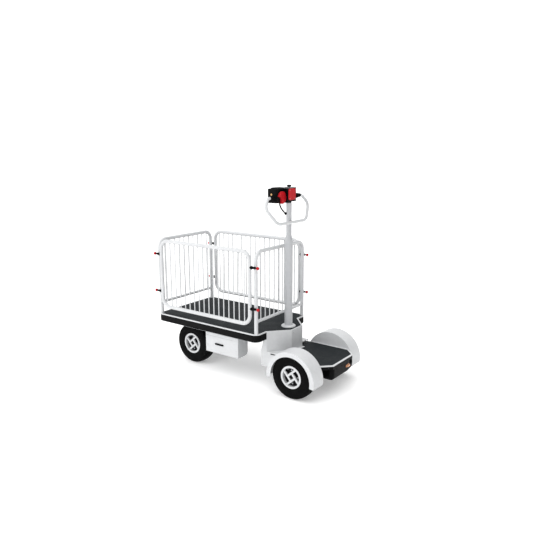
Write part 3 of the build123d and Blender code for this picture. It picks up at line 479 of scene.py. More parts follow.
def surface(tree, shader, tone, rough, height, strength, distance, gloss=0.5):
    """Links a finish's tone, roughness and bump to its shader, and sets its specular level."""
    bump = add_node(tree, "ShaderNodeBump", Height=height, Strength=strength, Distance=distance)
    put(
        tree, shader, Base_Color=tone, Roughness=rough, Normal=bump.outputs["Normal"],
        Specular_IOR_Level=gloss,
    )


def grained(tree, base, shade, scale, scuff, low, high):
    """The grain group with scuffs for a moulded body; gives its node, the scuffs' mask and a
    roughness between low and high."""
    body = use_group(tree, "grain", Color=base, Shade=shade, Scale=scale)
    mask = use_group(tree, "scuff", Amount=scuff).outputs["Mask"]
    return body, mask, remap(tree, body.outputs["Roughness"], 0.0, 1.0, low, high)


def paint_material(name, light, dark, dust_top=0.36, dust_amount=0.16):
    """Powder coat: mottled tone, fine peel, scuffs and dust near the floor."""
    material, tree, shader = blank_material(name)
    coat = use_group(tree, "mottle", Light=light, Dark=dark, Amount=0.55)
    scuffs = use_group(tree, "scuff", Amount=0.12)
    worn = mixed(tree, scuffs.outputs["Mask"], coat.outputs["Color"], (0.33, 0.33, 0.34, 1.0))
    dust = use_group(
        tree, "dust", Color=worn, Dust=(0.34, 0.325, 0.30, 1.0), Top=dust_top, Amount=dust_amount
    )
    dry = math_node(tree, "MULTIPLY", dust.outputs["Mask"], 0.4)
    rough = math_node(tree, "ADD", coat.outputs["Roughness"], dry)
    surface(tree, shader, dust.outputs["Color"], rough, coat.outputs["Height"], 0.12, 0.0004)
    put(tree, shader, Coat_Weight=0.15, Coat_Roughness=0.25)
    return material


def rubber_material(name, base, dusty, dust_top, dust_amount, grain=380.0):
    """Rubber: fine grain, soft change of tone, scuffs, and dry dust low down."""
    material, tree, shader = blank_material(name)
    body, scuffs, rough = grained(tree, base, dusty, grain, 0.5, 0.58, 0.74)
    worn = mixed(tree, scuffs, mixed(tree, 0.25, base, body.outputs["Color"]), dusty)
    dust = use_group(
        tree, "dust", Color=worn, Dust=(0.020, 0.0195, 0.019, 1.0), Top=dust_top, Amount=dust_amount
    )
    surface(tree, shader, dust.outputs["Color"], rough, body.outputs["Height"], 0.18, 0.0005, 0.05)
    return material


def bumper_material():
    """Extruded rubber edge: fine ribs that run along it, and scuffs."""
    material, tree, shader = blank_material("bumper_rubber")
    rubber, dusty = tuple(finish().rubber), tuple(finish().rubber_dust)
    body, scuffs, rough = grained(tree, rubber, dusty, 300.0, 0.6, 0.5, 0.68)
    worn = mixed(tree, scuffs, mixed(tree, 0.3, rubber, body.outputs["Color"]), dusty)
    wave = math_node(tree, "SINE", math_node(tree, "MULTIPLY", object_axis(tree, "Z"), 700.0))
    height = math_node(tree, "ADD", wave, math_node(tree, "MULTIPLY", body.outputs["Height"], 0.3))
    surface(tree, shader, worn, rough, height, 0.35, 0.0006, 0.10)
    return material


def plastic_material(name, base, shade, low, high, grain=520.0, bump=0.12, gloss=0.05):
    """Moulded plastic: fine grain, a slight change of tone, and light scuffs."""
    material, tree, shader = blank_material(name)
    body, scuffs, rough = grained(tree, base, shade, grain, 0.18, low, high)
    worn = mixed(tree, scuffs, body.outputs["Color"], shade)
    surface(tree, shader, worn, rough, body.outputs["Height"], bump, 0.0003, gloss)
    return material


def mat_material():
    """Ribbed rubber mat with dust in its valleys."""
    material, tree, shader = blank_material("ribbed_mat")
    rubber, dust = tuple(finish().mat), tuple(finish().mat_dust)
    ribs = use_group(tree, "ribs", Rubber=rubber, Dust=dust, Pitch=0.0065)
    scuffs = use_group(tree, "scuff", Amount=0.45)
    worn = mixed(tree, scuffs.outputs["Mask"], ribs.outputs["Color"], dust)
    surface(tree, shader, worn, ribs.outputs["Roughness"], ribs.outputs["Height"], 0.5, 0.0012, 0.15)
    return material


def metal_material(name, base, low, high):
    """Plated metal: brushed noise in its roughness and a fine bump."""
    material, tree, shader = blank_material(name)
    fine = object_noise(tree, 260.0, 4.0)
    wide = object_noise(tree, 30.0, 3.0)
    dull = tuple(0.72 * c for c in base[:3]) + (1.0,)
    tone = mixed(tree, remap(tree, wide, 0.35, 0.65), base, dull)
    surface(tree, shader, tone, remap(tree, fine, 0.3, 0.7, low, high), fine, 0.15, 0.0002)
    put(tree, shader, Metallic=1.0)
    return material


def lens_material():
    """Amber lens: moulded ribs under a clear coat."""
    material, tree, shader = blank_material("amber_lens")
    wave = math_node(tree, "SINE", math_node(tree, "MULTIPLY", object_axis(tree, "Y"), 900.0))
    wave = math_node(tree, "ABSOLUTE", wave)
    amber = tuple(finish().amber)
    deep = tuple(0.55 * c for c in amber[:3]) + (1.0,)
    rough = remap(tree, object_noise(tree, 90.0, 2.0), 0.3, 0.7, 0.12, 0.26)
    surface(tree, shader, mixed(tree, wave, deep, amber), rough, wave, 0.4, 0.0008)
    put(tree, shader, Coat_Weight=1.0)
    return material


def make_materials():
    """All finishes by their slot's name."""
    f = finish()
    white, rubber = (tuple(f.paint), tuple(f.paint_shade)), (tuple(f.rubber), tuple(f.rubber_dust))
    black, red = tuple(f.plastic), (tuple(f.red), tuple(f.red_shade))
    # Black steel: its own near-black, darkened further as painted shade so the hub's web reads black in the
    # wheel pockets.
    steel, grey_black = (0.0035, 0.0035, 0.0038, 1.0), (0.0055, 0.0055, 0.006, 1.0)
    # Greyer copy of the white paint for the column, partly painted shade.
    column = (tuple(f.column_paint_and_shade), (0.41, 0.42, 0.435, 1.0))
    under = (tuple(f.under_paint), (0.34, 0.35, 0.36, 1.0))
    return {
        "white_paint": paint_material("white_paint", *white),
        "frame_paint": paint_material("frame_paint", *under, 0.42, 0.5),
        "column_paint_and_shade": paint_material("column_paint_and_shade", *column),
        "rim_paint": paint_material("rim_paint", *white, 0.30, 0.16),
        # Black steel, partly painted shade in the wheel pockets.
        "black_steel": plastic_material("black_steel", steel, grey_black, 0.32, 0.5, 260.0, 0.08),
        "ribbed_mat": mat_material(),
        "black_rubber": rubber_material("black_rubber", *rubber, 0.2, 0.4),
        "bumper_rubber": bumper_material(),
        "tyre_rubber": rubber_material("tyre_rubber", *rubber, 0.30, 0.22, 240.0),
        "black_plastic": plastic_material("black_plastic", black, grey_black, 0.34, 0.5),
        "red_plastic": plastic_material("red_plastic", *red, 0.34, 0.50, 300.0, 0.05, 0.10),
        "amber_lens": lens_material(),
        "brass": metal_material("brass", tuple(f.brass), 0.22, 0.4),
        "zinc": metal_material("zinc", tuple(f.zinc), 0.25, 0.45),
    }


MATERIALS = {}


def material(slot):
    """The finish for a slot."""
    if not MATERIALS:
        MATERIALS.update(make_materials())
    return MATERIALS[slot]


class CART_OT_finish(bpy.types.Operator):
    """Give each carried-over node the finish of its slot."""

    bl_idname = "cart.finish"
    bl_label = "Finish the frame's nodes"

    def execute(self, context):
        slots = {row["node"]: row["material_slot"] for row in frame["record"]["subparts"]}
        slots["bumper"] = "bumper_rubber"
        # The column gets the greyer paint, which is partly painted shade.
        slots["column"] = "column_paint_and_shade"
        for name, node in frame["nodes"].items():
            node.data.materials.clear()
            node.data.materials.append(material(slots[name]))
        return {"FINISHED"}


# Tyres

def tyre_section(radius, width, bead_radius, count):
    """Outline of the tyre's section as (r, a) from the inner bead, over the crown, to the
    outer bead: straight spans between shares of the size, rounded by averaging."""
    shares = np.array([
        (-0.418, 0.0), (-0.422, 0.10), (-0.465, 0.17), (-0.497, 0.36), (-0.5, 0.50), (-0.492, 0.68),
        (-0.47, 0.84), (-0.425, 0.93), (-0.285, 0.976), (-0.12, 0.997), (0.0, 1.0),
    ])
    half = np.vstack([shares, shares[-2::-1] * (-1, 1)])
    along = np.r_[0, np.cumsum(np.hypot(*np.diff(half, axis=0).T))]
    s = np.linspace(0, along[-1], count)
    a = np.interp(s, along, half[:, 0]) * width
    r = bead_radius + np.interp(s, along, half[:, 1]) * (radius - bead_radius)
    kernel = np.array([0.25, 0.5, 0.25])
    for row in (a, r):
        row[1:-1] = np.convolve(row, kernel, "valid")
    return r, a


def tread_depth(angle, across, blocks):
    """How deep the tread is cut at an angle and a share across the width, from 0 to 1: three
    rings of groove, and slanted notches from each shoulder."""
    def notch(value, width):
        return np.clip(1.6 * (1 - np.abs(value) / width), 0, 1)

    rings = np.maximum(notch(across, 0.018), notch(np.abs(across) - 0.165, 0.018))
    phase = np.sin(blocks / 2 * (angle + np.sign(across) * 0.07) + 16 * np.abs(across))
    lateral = notch(phase, 0.36) * (np.abs(across) > 0.19) * np.clip((0.46 - np.abs(across)) / 0.03, 0, 1)
    return np.maximum(rings, lateral)


def tyre_piece(end, side_name, side, rings=264, steps=72):
    """A tyre: point(k, i) = centre + (r_i - depth) (cos t_k x + sin t_k z) + a_i y, with two
    sunk lines round each wall and a closing band under the beads."""
    node = f"tyre_{end}_{side_name}"
    low, high = span(node)
    centre = (low + high) / 2
    radius = (high[2] - low[2]) / 2
    width = high[1] - low[1]
    bead_radius, half_width = 0.4515 * radius, 0.05
    r, a = tyre_section(radius, width, bead_radius, steps)
    t = np.linspace(0, 2 * np.pi, rings, endpoint=False)
    across = a / width
    cut = form().groove_depth * tread_depth(t[:, None], across[None, :], form().tread_blocks)
    crown = np.clip((r - 0.86 * radius) / (0.06 * radius), 0, 1)
    lines = sum(
        rise * np.exp(-((r - share * radius) / breadth) ** 2)
        for share, rise, breadth in ((0.62, 0.0007, 0.0018), (0.80, 0.0009, 0.0022))
    )
    rr = r[None, :] - cut * crown[None, :]
    aa = np.broadcast_to(a * (1 - lines / half_width), rr.shape)
    points = np.stack([
        centre[0] + rr * np.cos(t)[:, None], centre[1] + side * aa, centre[2] + rr * np.sin(t)[:, None],
    ], -1)
    faces = grid_faces(rings, steps, wrap_rows=True, wrap_columns=True)
    if side < 0:
        faces = faces[:, ::-1]
    piece = mesh_piece(
        f"treaded_tyre_{end}_{side_name}", (points.reshape(-1, 3), faces[:, ::-1]),
        f"wheel_{end}_{side_name}", "tyre_rubber",
    )
    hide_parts(node)


def wheel_fittings(end, side_name, side):
    """Four nuts on the hub's web, in the pockets between the spokes, and a valve stem."""
    nut_circle, stem_circle, web_depth = 0.58, 0.76, 24 * MM
    low, high = span(f"rim_{end}_{side_name}")
    centre = (low + high) / 2
    radius = (high[2] - low[2]) / 2
    axis = np.array([0.0, side, 0.0])
    face = centre[1] + side * ((high[1] - low[1]) / 2 - web_depth)
    parts = []
    for k in range(4):
        angle = radians(SPOKE_TURN + 45 + 90 * k)
        reach = nut_circle * radius
        spot = (centre[0] + reach * cos(angle), face, centre[2] + reach * sin(angle))
        parts.append(hex_nut(spot, axis, 6.5 * MM, 6 * MM))
    angle = radians(SPOKE_TURN + 20)
    reach = stem_circle * radius
    stem = (centre[0] + reach * cos(angle), face, centre[2] + reach * sin(angle))
    profile = [
        (0.0, 0.0), (4 * MM, 0.0), (4 * MM, 9 * MM), (2.6 * MM, 10 * MM), (2.6 * MM, 17 * MM),
        (0.0, 17 * MM),
    ]
    parts.append(turned(profile, stem, axis, 12))
    mesh_piece(
        f"wheel_fittings_{end}_{side_name}", joined(parts), f"wheel_{end}_{side_name}", "black_steel",
        "zinc", smooth=False,
    )


class CART_OT_wheels(bpy.types.Operator):
    """Treaded tyres, wheel nuts and valve stems."""

    bl_idname = "cart.wheels"
    bl_label = "Tyres and wheel fittings"

    def execute(self, context):
        for end in ENDS:
            for side_name, side in SIDES:
                tyre_piece(end, side_name, side)
                wheel_fittings(end, side_name, side)
        return {"FINISHED"}


# Battery boxes

def arc_corner(centre, radius, start, steps=7):
    """Quarter circle of a section's corner: c + R (cos t, sin t), t from start over 90 degrees."""
    t = radians(start) + np.linspace(0, np.pi / 2, steps)
    return np.stack([centre[0] + radius * np.cos(t), centre[1] + radius * np.sin(t)], -1)


def box_section(width, height, lid, groove):
    """Outline of a battery box's section, seen along the cart: two rounded inner corners, two
    nearly sharp outer ones and a groove under the lid on both walls. The first axis runs from
    the inner wall (0) to the outer wall (width), and the second from the bottom up."""
    foot, shoulder, nip = 32 * MM, 18 * MM, 3 * MM
    level = height - lid
    return np.vstack([
        arc_corner((foot, foot), foot, 180),
        arc_corner((width - nip, nip), nip, 270, 4),
        [(width, level - groove), (width - groove, level - groove / 2)],
        [(width - groove, level + groove / 2), (width, level + groove)],
        arc_corner((width - nip, height - nip), nip, 0, 4),
        arc_corner((shoulder, height - shoulder), shoulder, 90),
        [(0.0, level + groove), (groove, level + groove / 2)],
        [(groove, level - groove / 2), (0.0, level - groove)],
    ])


def carried_section(outline, stations, insets):
    """A closed section carried along a line: ring k is the outline drawn in by inset k at
    station k, and each end is closed by one face. Gives (along, across, up) points."""
    ahead = np.roll(outline, -1, 0) - np.roll(outline, 1, 0)
    normal = np.stack([ahead[:, 1], -ahead[:, 0]], -1)
    normal /= np.linalg.norm(normal, axis=1)[:, None]
    rings = outline[None] - np.asarray(insets)[:, None, None] * normal[None]
    along = np.broadcast_to(np.asarray(stations)[:, None, None], rings.shape[:2] + (1,))
    points = np.concatenate([along, rings], -1).reshape(-1, 3)
    return points, capped_faces(len(stations), len(outline))


def face_outwards(piece):
    """Turns the faces of a closed piece so that they point out."""
    work = bmesh.new()
    work.from_mesh(piece.data)
    bmesh.ops.recalc_face_normals(work, faces=work.faces)
    work.to_mesh(piece.data)
    work.free()


class CART_OT_boxes(bpy.types.Operator):
    """Battery boxes with a lid groove and rounded inner corners."""

    bl_idname = "cart.boxes"
    bl_label = "Battery boxes"

    def execute(self, context):
        for side_name, side in SIDES:
            low, high = span(f"battery_box_{side_name}")
            edge = 2 * MM
            lid, groove = 40 * MM, 2 * MM
            outline = box_section(high[1] - low[1], high[2] - low[2], lid, groove)
            steps = edge * np.array([0.0, 0.6, 1.0])
            stations = np.r_[low[0] + steps, high[0] - steps[::-1]]
            insets = edge * np.array([1.0, 0.3, 0.0, 0.0, 0.3, 1.0])
            points, faces = carried_section(outline, stations, insets)
            inner = low[1] if side > 0 else high[1]
            points[:, 1] = inner + side * points[:, 1]
            points[:, 2] += low[2]
            piece = mesh_piece(
                f"box_shell_{side_name}", (points, faces), "chassis", "white_paint", smooth=False
            )
            face_outwards(piece)
            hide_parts(f"battery_box_{side_name}")
        return {"FINISHED"}


# Fence welds

def weld_ring(centre, axis, ring_radius, bead_radius, count=14):
    """A ring of weld: a torus whose ring waves slightly, R = R0 (1 + 0.06 sin 5a)."""
    u, v, w = frame_of(axis)
    a = np.linspace(0, 2 * np.pi, count, endpoint=False)
    b = np.linspace(0, 2 * np.pi, 6, endpoint=False)
    ring = ring_radius * (1 + 0.06 * np.sin(5 * a))
    out = np.cos(a)[:, None] * u + np.sin(a)[:, None] * v
    r = ring[:, None] + bead_radius * np.cos(b)[None, :]
    points = np.asarray(centre) + r[..., None] * out[:, None] + (bead_radius * np.sin(b))[None, :, None] * w
    return points.reshape(-1, 3), grid_faces(count, 6, True, True)


def bar_welds(centre, way, half, bars, levels):
    """Weld rings at the levels of both rails, round each of the bars that stand evenly along a
    way through the centre, between -half and half."""
    parts = []
    for step in np.linspace(-half, half, bars + 2)[1:-1]:
        x, y = centre[0] + step * way[0], centre[1] + step * way[1]
        parts.extend(weld_ring((x, y, z), UP, BAR_WELD, form().weld_radius) for z in levels)
    return parts


class CART_OT_welds(bpy.types.Operator):
    """Weld beads where the fence's bars meet their rails."""

    bl_idname = "cart.welds"
    bl_label = "Fence welds"

    def execute(self, context):
        for end in ENDS:
            low, high = span(f"fence_{end}")
            x = (low[0] + high[0]) / 2
            half = (high[1] - low[1]) / 2 - FENCE_TUBE
            levels = (RAIL_LEVEL + RAIL_TUBE, high[2] - 2 * FENCE_TUBE)
            parts = bar_welds((x, 0.0), LEFT, half, END_BARS, levels)
            for sign in (-1, 1):
                joint, foot = (x, sign * (half - FENCE_TUBE), RAIL_LEVEL), (x, sign * half, POST_FOOT)
                parts.append(weld_ring(joint, LEFT, RAIL_TUBE + 0.4 * MM, form().weld_radius, 22))
                parts.append(weld_ring(foot, UP, FENCE_TUBE + 0.6 * MM, 1.3 * MM, 26))
            mesh_piece(f"fence_{end}_welds", joined(parts), "chassis", "white_paint")
        for side_name, _ in SIDES:
            low, high = span(f"side_panel_{side_name}")
            half = (high[0] - low[0]) / 2 - FENCE_TUBE
            levels = (low[2] + 2 * FENCE_TUBE, high[2] - 2 * FENCE_TUBE)
            parts = bar_welds((low + high) / 2, FORWARD, half, SIDE_BARS, levels)
            mesh_piece(f"side_panel_{side_name}_welds", joined(parts), f"panel_{side_name}", "white_paint")
        return {"FINISHED"}


# Screws and small fittings

def screw_set(name, places, body, slot, finish_name, radius, height):
    """A joined set of domed screws; each place is a point and the way it faces."""
    screws = joined([dome(spot, way, radius, height) for spot, way in places])
    mesh_piece(name, screws, body, slot, finish_name)


class CART_OT_fasteners(bpy.types.Operator):
    """Screws on the flange, boxes, cover, switch box and tail housing."""

    bl_idname = "cart.fasteners"
    bl_label = "Screws"

    def execute(self, context):
        low, high = span("column_flange")
        flange = (low + high) / 2
        ring = 0.83 * (high[0] - low[0]) / 2
        places = []
        for k in range(4):
            angle = radians(45 + 90 * k)
            spot = (flange[0] + ring * cos(angle), flange[1] + ring * sin(angle), high[2] - 4.6 * MM)
            places.append((spot, (0.35 * cos(angle), 0.35 * sin(angle), 1.0)))
        screw_set("flange_screws", places, "chassis", "white_paint", "zinc", 4.6 * MM, 3.2 * MM)

        places = []
        for side_name, side in SIDES:
            low, high = span(f"battery_box_{side_name}")
            face = high[1] if side > 0 else low[1]
            for x in (low[0] + 0.02, high[0] - 0.02):
                for z in (high[2] - 0.018, low[2] + 0.055):
                    places.append(((x, face, z), (0.0, side, 0.0)))
        screw_set("box_screws", places, "chassis", "white_paint", "zinc", 3.8 * MM, 2.0 * MM)

        low, high = span("nose_cover")
        tip = low[0] + 22 * MM
        places = []
        for y in (-0.05, 0.05):
            places.append(((tip, y, COVER_SCREW_LEVEL), BACK))
            places.append(((tip - 11 * MM, y, COVER_FOOT_LEVEL), UP))
        screw_set("cover_screws", places, "chassis", "white_paint", "zinc", 3.6 * MM, 2.0 * MM)

        low, high = span("switch_box")
        places = [
            ((low[0] + 0.4 * MM, y, z), BACK)
            for y in (low[1] + 10 * MM, high[1] - 10 * MM) for z in (low[2] + 17 * MM, high[2] - 10 * MM)
        ]
        screw_set("switch_screws", places, "steering", "red_plastic", "zinc", 2.9 * MM, 1.4 * MM)

        low, high = span("tail_housing")
        x, z = low[0] + 0.1 * MM, high[2] - 0.014
        places = [((x, y, z), BACK) for y in (low[1] + 0.05, high[1] - 0.05, 0.0)]
        screw_set("housing_screws", places, "chassis", "black_plastic", "black_plastic", 4.2 * MM, 2.0 * MM)
        return {"FINISHED"}


# Handle loop and cable

def rounded_path(corners, radii, steps=9):
    """Points along a polyline in a plane whose inner corners are arcs: at corner p with unit
    ways a (in) and b (out), the arc of radius R starts R tan(turn/2) before p, and its centre
    lies on the line that halves the corner."""
    p = np.asarray(corners, float)
    points = [p[0]]
    for index, radius in enumerate(radii, start=1):
        a = (p[index] - p[index - 1]) / np.linalg.norm(p[index] - p[index - 1])
        b = (p[index + 1] - p[index]) / np.linalg.norm(p[index + 1] - p[index])
        half = np.arccos(np.clip(a @ b, -1, 1)) / 2
        start = p[index] - radius * np.tan(half) * a
        inward = (b - a) / np.linalg.norm(b - a)
        centre = p[index] + inward * radius / np.cos(half)
        arm = start - centre
        turn = np.sign(a[0] * b[1] - a[1] * b[0]) * np.linspace(0, 2 * half, steps)
        points.extend(np.stack([
            centre[0] + arm[0] * np.cos(turn) - arm[1] * np.sin(turn),
            centre[1] + arm[0] * np.sin(turn) + arm[1] * np.cos(turn),
        ], -1))
    points.append(p[-1])
    return np.array(points)


def smooth_route(points, count=60):
    """A smooth curve near a few points: the points are joined at even steps, and each step is
    then averaged with its neighbours again and again while the ends stay."""
    p = np.asarray(points, float)
    share = np.linspace(0, len(p) - 1, count)
    route = np.stack([np.interp(share, np.arange(len(p)), p[:, k]) for k in range(3)], -1)
    for _ in range(40):
        route[1:-1] = (route[:-2] + 2 * route[1:-1] + route[2:]) / 4
    return route


def rounded_rectangle(width, height, radius):
    """Outline of a rectangle about its middle with four rounded corners."""
    w, h = width / 2 - radius, height / 2 - radius
    return np.vstack([
        arc_corner((w, h), radius, 0), arc_corner((-w, h), radius, 90),
        arc_corner((-w, -h), radius, 180), arc_corner((w, -h), radius, 270),
    ])


class CART_OT_handle(bpy.types.Operator):
    """Bent handle loop with wide corners, and the control cable with its two collars."""

    bl_idname = "cart.handle"
    bl_label = "Handle and cable"

    def execute(self, context):
        low, high = span("handle_loop")
        tube = 11 * MM
        start = np.array([low[0] + tube, 0.0, low[2] + tube])
        top = (high[2] - low[2] - 2 * tube) / cos(HANDLE_LEAN)
        half = [158 * MM, 214 * MM, 274 * MM, 181 * MM]
        rise = [top, top, 0.639 * top, 0.0]
        corners = list(zip(half, rise)) + [(-y, z) for y, z in zip(half[::-1], rise[::-1])]
        wide = (42 * MM, 50 * MM, 80 * MM)
        flat = rounded_path(corners, wide + wide[::-1])
        lean = np.array([sin(HANDLE_LEAN), 0.0, cos(HANDLE_LEAN)])
        route = start + flat[:, :1] * np.array(LEFT) + flat[:, 1:] * lean
        piece = mesh_piece("bent_handle", capped_tube(route, tube, 20), "steering", "white_paint")
        face_outwards(piece)
        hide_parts("handle_loop")

        low, high = span("control_cable")
        column = middle("stop_knob")
        ahead, left = high[0] - column[0] - 4 * MM, high[1] - 4 * MM
        places = [
            (ahead, left, high[2]), (ahead, left, high[2] - 19 * MM),
            (0.86 * ahead, 0.78 * left, high[2] - 46 * MM), (0.58 * ahead, 0.52 * left, high[2] - 68 * MM),
            (0.27 * ahead, 0.30 * left, low[2] + 5 * MM),
        ]
        route = smooth_route([(column[0] + x, y, z) for x, y, z in places])
        ways = (route[0] - route[1], route[-1] - route[-2])
        collar = [(0.0, -6 * MM), (7.5 * MM, -6 * MM), (7.5 * MM, -1 * MM), (6 * MM, 0.0), (0.0, 0.0)]
        gland = [
            (0.0, -16 * MM), (7 * MM, -16 * MM), (10 * MM, -10 * MM), (10 * MM, -2 * MM), (8.5 * MM, 0.0),
            (0.0, 0.0),
        ]
        parts = [
            capped_tube(route, 5.2 * MM, 14), turned(collar, route[0], ways[0], 18),
            turned(gland, route[-1], ways[1], 20),
        ]
        piece = mesh_piece("cable", joined(parts), "steering", "black_rubber")
        face_outwards(piece)
        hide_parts("control_cable")
        return {"FINISHED"}


class CART_OT_switch(bpy.types.Operator):
    """Switch box: a black housing with a red lid and a key barrel on its right."""

    bl_idname = "cart.switch"
    bl_label = "Switch box"

    def execute(self, context):
        low, high = span("switch_box")
        centre = (low + high) / 2
        width, height = high[1] - low[1], high[2] - low[2]
        lid = 7 * MM
        foot = 7 * MM
        round_in = 2.4 * MM
        steps = round_in * np.array([0.0, 0.3, 0.65, 1.0])
        drawn = round_in * np.array([1.0, 0.35, 0.08, 0.0])
        for name, start, end, wide, tall, bend, slot in (
            ("switch_lid", low[0], low[0] + lid, width, height - foot, 14 * MM, "red_plastic"),
            ("switch_housing", low[0] + lid + 0.3 * MM, high[0], width - 4 * MM, height, 13 * MM,
             "black_plastic"),
        ):
            outline = rounded_rectangle(wide, tall, bend)
            stations = np.r_[start + steps, end - 0.8 * MM, end]
            points, faces = carried_section(outline, stations, np.r_[drawn, 0.0, 0.8 * MM])
            points += (0.0, centre[1], high[2] - tall / 2)
            piece = mesh_piece(name, (points, faces), "steering", slot, smooth=False)
            face_outwards(piece)
        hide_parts("switch_box")
        barrel = [(0.0, -1 * MM), (6 * MM, -1 * MM), (6 * MM, 4 * MM), (4.8 * MM, 5 * MM), (0.0, 5 * MM)]
        spot = (centre[0] + 3 * MM, low[1] + 2.5 * MM, centre[2] + 0.12 * height)
        barrel = turned(barrel, spot, (0.0, -1.0, 0.0), 20)
        mesh_piece("switch_barrel", barrel, "steering", "black_plastic", "brass")
        return {"FINISHED"}


class CART_OT_controls(bpy.types.Operator):
    """Ribbed grips, the stop knob on its stem, and the key barrel on the head."""

    bl_idname = "cart.controls"
    bl_label = "Grips, stop knob and key"

    def execute(self, context):
        low, high = span("grips")
        grip_middle = (low + high) / 2
        length, broad, slim = 61.4 * MM, 20.6 * MM, 13.6 * MM
        h = np.linspace(0, length, 60)
        taper = broad - (broad - slim) * h / length
        r = taper * (1 - 0.10 * (0.5 - 0.5 * np.cos(2 * np.pi * form().grip_ribs * h / length)))
        profile = [(0.0, 0.0), *zip(r, h), (0.0, length)]
        parts = []
        for _, side in SIDES:
            start = (grip_middle[0], side * (high[1] - length), grip_middle[2])
            parts.append(turned(profile, start, (0.0, side, 0.0), 28))
        piece = mesh_piece("ribbed_grips", joined(parts), "steering", "black_rubber")
        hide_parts("grips")

        low, high = span("stop_knob")
        centre, radius, height = (low + high) / 2, (high[0] - low[0]) / 2, high[2] - low[2]
        foot = (centre[0], centre[1], low[2])
        a = np.linspace(-0.5 * np.pi, 0.5 * np.pi, 13)
        rim = radius * (0.62 + 0.38 * np.cos(a)), height * (0.71 + 0.29 * np.sin(a))
        head = turned([(0.0, rim[1][0]), *zip(*rim), (0.0, rim[1][-1])], foot, UP, 28)
        piece = mesh_piece("knob_head", head, "steering", "black_plastic")
        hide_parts("stop_knob")
        stem = [(0.0, 0.0), (0.50, 0.0), (0.50, 0.12), (0.34, 0.16), (0.34, 0.50), (0.0, 0.50)]
        stem = turned([(x * radius, z * height) for x, z in stem], foot, UP, 24)
        mesh_piece("knob_stem", stem, "steering", "black_plastic", "zinc")

        low, high = span("control_head")
        spot = (low[0] + 68 * MM, high[1] - 0.2 * MM, KEY_LEVEL)
        lock = turned([
            (0.0, 0.0), (7.6 * MM, 0.0), (7.6 * MM, 1.6 * MM), (6.4 * MM, 2.4 * MM), (1.6 * MM, 2.4 * MM),
            (1.4 * MM, 1.0 * MM), (0.0, 1.0 * MM),
        ], spot, LEFT, 24)
        mesh_piece("key_barrel", lock, "steering", "black_plastic", "brass")
        return {"FINISHED"}


# Stage

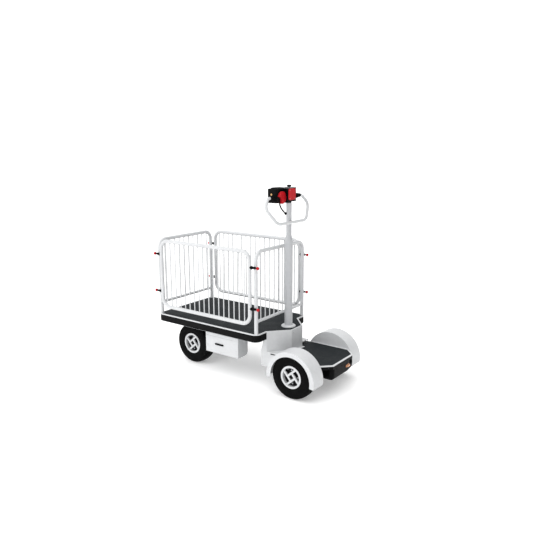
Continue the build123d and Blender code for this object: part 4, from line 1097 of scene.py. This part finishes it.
class CART_OT_stage(bpy.types.Operator):
    """Floor, lights, surround and camera."""

    bl_idname = "cart.stage"
    bl_label = "Studio"

    def execute(self, context):
        s = context.scene.cart_stage
        half = s.floor_size / 2
        data = bpy.data.meshes.new("floor")
        corners = [(-half, -half, 0.0), (half, -half, 0.0), (half, half, 0.0), (-half, half, 0.0)]
        data.from_pydata(corners, [], [(0, 1, 2, 3)])
        pale, tree, shader = blank_material("floor_pale")
        tone = remap(tree, object_noise(tree, 1.5, 2.0), 0.3, 0.7)
        shade = mixed(tree, tone, (0.90, 0.90, 0.90, 1.0), (0.885, 0.885, 0.885, 1.0))
        put(
            tree, shader, Base_Color=shade, Roughness=0.7, Specular_IOR_Level=0.1,
            Emission_Color=WHITE, Emission_Strength=s.floor_glow,
        )
        data.materials.append(pale)
        floor = placed("floor", data)

        world = bpy.data.worlds.new("surround")
        world.use_nodes = True
        tree = world.node_tree
        way = add_node(tree, "ShaderNodeTexCoord").outputs["Generated"]
        ahead = add_node(tree, "ShaderNodeSeparateXYZ", Vector=way).outputs["X"]
        strength = remap(tree, ahead, -0.45, 0.12, s.shade_strength, s.world_strength)
        seen = add_node(tree, "ShaderNodeLightPath").outputs["Is Camera Ray"]
        strength = math_node(tree, "MAXIMUM", strength, seen)
        put(tree, tree.nodes["Background"], Color=WHITE, Strength=strength)
        context.scene.world = world

        target = Vector((-0.1, 0.0, 0.5))
        lights = (
            ("key", "AREA", (1.3, 4.8, 2.6), s.key_power, "size", 2.6),
            ("top", "SUN", (-0.5, 0.9, 4.0), s.top_strength, "angle", radians(80)),
        )
        for name, kind, place, power, width, amount in lights:
            lamp = bpy.data.lights.new(name, kind)
            lamp.energy = power
            setattr(lamp, width, amount)
            placed(name, lamp, place, target - Vector(place))

        camera_data = bpy.data.cameras.new("camera")
        camera_data.lens = s.lens
        camera_data.sensor_width = 36.0
        camera_data.clip_end = 200.0
        yaw, pitch = s.camera_yaw, s.camera_pitch
        ahead = Vector((sin(yaw) * cos(pitch), -cos(yaw) * cos(pitch), -sin(pitch)))
        context.scene.camera = placed("camera", camera_data, s.camera_place, ahead)
        context.scene.view_settings.view_transform = "Standard"
        return {"FINISHED"}


OPERATORS = (
    CART_OT_stage, CART_OT_finish, CART_OT_wheels, CART_OT_boxes, CART_OT_welds, CART_OT_fasteners,
    CART_OT_handle, CART_OT_switch, CART_OT_controls,
)


class CART_PT_panel(bpy.types.Panel):
    """Buttons and settings for the cart in the sidebar."""

    bl_idname = "CART_PT_panel"
    bl_label = "Cart"
    bl_space_type = "VIEW_3D"
    bl_region_type = "UI"
    bl_category = "Cart"

    def draw(self, context):
        for operator in OPERATORS:
            self.layout.operator(operator.bl_idname, text=operator.bl_label)
        for settings in (context.scene.cart_finish, context.scene.cart_form, context.scene.cart_stage):
            for key in settings.bl_rna.properties.keys():
                if key not in ("rna_type", "name"):
                    self.layout.prop(settings, key)


SETTINGS = (("cart_finish", CartFinish), ("cart_form", CartForm), ("cart_stage", CartStage))


def register():
    """Registers the settings, the operators and the panel."""
    for name, kind in SETTINGS:
        bpy.utils.register_class(kind)
        setattr(bpy.types.Scene, name, bpy.props.PointerProperty(type=kind))
    for kind in OPERATORS:
        bpy.utils.register_class(kind)
    bpy.utils.register_class(CART_PT_panel)


def unregister():
    """Removes what register added."""
    bpy.utils.unregister_class(CART_PT_panel)
    for kind in reversed(OPERATORS):
        bpy.utils.unregister_class(kind)
    for name, kind in reversed(SETTINGS):
        delattr(bpy.types.Scene, name)
        bpy.utils.unregister_class(kind)


def main():
    """Registers the add-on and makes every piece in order."""
    register()
    bpy.ops.cart.stage()
    bpy.ops.cart.finish()
    bpy.ops.cart.wheels()
    bpy.ops.cart.boxes()
    bpy.ops.cart.welds()
    bpy.ops.cart.fasteners()
    bpy.ops.cart.handle()
    bpy.ops.cart.switch()
    bpy.ops.cart.controls()


if __name__ == "__main__":
    main()
